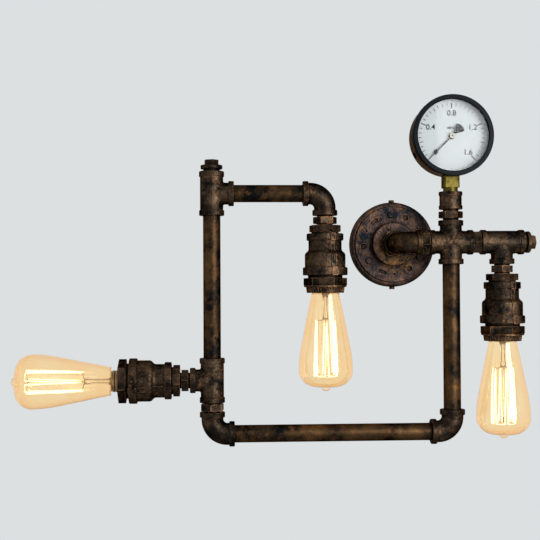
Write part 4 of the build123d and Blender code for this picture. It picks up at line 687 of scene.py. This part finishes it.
def lead_in_wires(form):
    """The two wires inside the stem, and the small coils where they leave the press."""
    for hand in (-1, 1):
        wire = [(hand * 1.2, 0, 1.5), (hand * 1.2, 0, 30), (hand * 2.2, 0, 37), (hand * 3.2, 0, 40)]
        tube(form, wire, WIRE_RADIUS, 6)
        coil = [(hand * COIL_OFFSET + COIL_RADIUS * math.cos(t), COIL_RADIUS * math.sin(t),
                 COIL_FROM + t * COIL_RISE) for t in (step * COIL_ANGLE_STEP for step in range(COIL_POINTS))]
        tube(form, coil, COIL_WIRE_RADIUS, 5)


def make_bulb(side, finishes, stem_glass, wire_metal):
    """Stem, hooks and glowing cage of one bulb, in place of its plain mount."""
    space = lamp_space(side)
    for name, build, material in (("stem", stem_form, stem_glass), ("hooks", support_wires, wire_metal),
                                  ("lead_wires", lead_in_wires, wire_metal),
                                  ("cage", cage_wire, finishes["filament"])):
        form = bmesh.new()
        build(form)
        form.transform(space)
        made = piece(f"{side}_bulb_{name}", form, material, smooth=True)
        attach(made, f"{side}_bulb")
        if name == "cage":
            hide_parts(f"{side}_bulb_mount")


# ---- Gauge dial -------------------------------------------------------------------------
DIAL_FRONT_Y = -0.0745
INK_DEPTH = 0.00008
SCALE_START = 225.0
SCALE_SWEEP = 270.0
DIVISIONS = 32
MAJOR_EVERY = 8
SCALE_OUTER = 40.5
MAJOR_TICK = 6.5
MIDDLE_TICK = 4.6
MINOR_TICK = 3.2
MAJOR_INK = 1.1
MINOR_INK = 0.75
NUMBERS = ("0", "0.4", "0.8", "1.2", "1.6")
NUMBER_RADIUS = 28.0
NUMBER_SIZE = 9.4
UNIT = "MPa"
UNIT_AT = (10.0, 97.0)
UNIT_SIZE = 4.8
INK_BOLDNESS = 0.012
CAP_PROFILE = ((0, -0.6), (3.3, -0.6), (3.3, 0.25), (2.9, 0.5), (0, 0.62))
PIN_PROFILE = ((0, 0.3), (1.1, 0.3), (1.1, 0.8), (0, 0.9))
CAP_SIDES = 40


def gauge_centre():
    low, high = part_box("gauge_dial")
    return (low + high) / 2


def dial_point(radius, degrees):
    """A point on the dial's front, in metres, from a radius in mm and an angle from the right."""
    centre = gauge_centre()
    angle = math.radians(degrees)
    return Vector((centre.x + radius * MM * math.cos(angle), DIAL_FRONT_Y - INK_DEPTH,
                   centre.z + radius * MM * math.sin(angle)))


def ink_bar(form, degrees, inner, outer, width):
    """A printed line along a radius."""
    angle = math.radians(degrees)
    across = Vector((-math.sin(angle), 0, math.cos(angle))) * width * MM / 2
    ends = [dial_point(inner, degrees), dial_point(outer, degrees)]
    corners = [ends[0] - across, ends[1] - across, ends[1] + across, ends[0] + across]
    front = form.faces.new([form.verts.new(c) for c in corners])
    side = bmesh.ops.extrude_face_region(form, geom=[front])
    moved = [v for v in side["geom"] if isinstance(v, bmesh.types.BMVert)]
    bmesh.ops.translate(form, vec=(0, INK_DEPTH, 0), verts=moved)


def ink_text(form, words, place, size):
    """Figures printed flat on the dial."""
    curve = bpy.data.curves.new("figures", "FONT")
    curve.body = words
    curve.size = size * MM
    curve.align_x = "CENTER"
    curve.align_y = "CENTER"
    curve.extrude = INK_DEPTH / 2
    curve.offset = size * MM * INK_BOLDNESS
    holder = bpy.data.objects.new("figures", curve)
    bpy.context.scene.collection.objects.link(holder)
    bpy.context.view_layer.update()
    flat = bpy.data.meshes.new_from_object(holder.evaluated_get(bpy.context.evaluated_depsgraph_get()))
    flat.transform(Matrix.Translation(place) @ Matrix.Rotation(math.pi / 2, 4, "X"))
    form.from_mesh(flat)
    bpy.data.objects.remove(holder)
    bpy.data.curves.remove(curve)
    bpy.data.meshes.remove(flat)


def make_dial_scale(ink):
    """Ticks from 0 to 1.6 with longer ones at the figures, and the unit."""
    form = bmesh.new()
    for step in range(DIVISIONS + 1):
        degrees = SCALE_START - SCALE_SWEEP * step / DIVISIONS
        major = step % MAJOR_EVERY == 0
        middle = step % (MAJOR_EVERY // 2) == 0
        inner = SCALE_OUTER - (MAJOR_TICK if major else MIDDLE_TICK if middle else MINOR_TICK)
        ink_bar(form, degrees, inner, SCALE_OUTER, MAJOR_INK if major else MINOR_INK)
    for index, words in enumerate(NUMBERS):
        degrees = SCALE_START - SCALE_SWEEP * index / (len(NUMBERS) - 1)
        ink_text(form, words, dial_point(NUMBER_RADIUS, degrees), NUMBER_SIZE)
    ink_text(form, UNIT, dial_point(*UNIT_AT), UNIT_SIZE)
    scale = piece("dial_scale", form, ink)
    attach(scale, "fixture")


def make_pointer_cap(finishes):
    """The pale cap with a dark pin on the pointer's hub."""
    low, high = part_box("gauge_pointer")
    centre = gauge_centre()
    space = Matrix.Translation((centre.x, low.y, centre.z)) @ Matrix.Rotation(math.pi / 2, 4, "X")
    for name, profile, material, slot in (
            ("pointer_cap", CAP_PROFILE, moulded("cap cream", CAP_CREAM, 0.4), "dial_white"),
            ("pointer_pin", PIN_PROFILE, finishes["pointer_black"], "pointer_black")):
        form = bmesh.new()
        turn_profile(form, profile, CAP_SIDES)
        form.transform(space)
        made = piece(name, form, material)
        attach(made, "gauge_pointer")


# ---- The lamp ---------------------------------------------------------------------------
def make_scene():
    finishes = make_finishes()
    dress_nodes(finishes)
    stem_glass = clear_glass("stem glass", STEM_GLASS, 0.05)
    wire_metal = plated("support wire", SUPPORT_METAL, 0.4, 300.0)
    for side in SIDES:
        make_bulb(side, finishes, stem_glass, wire_metal)
    make_dial_scale(moulded("dial ink", DIAL_INK, 0.7, gloss=0.05))
    make_pointer_cap(finishes)


bpy.context.scene.view_settings.view_transform = "Standard"
EFFECTS.update(mottle=bronze_mottle_group(), rub=edge_rub_group(), cavity=cavity_shade_group(),
               grain=fine_grain_group())
place_camera()
light_world()
hang_key()
lay_floor()
make_scene()
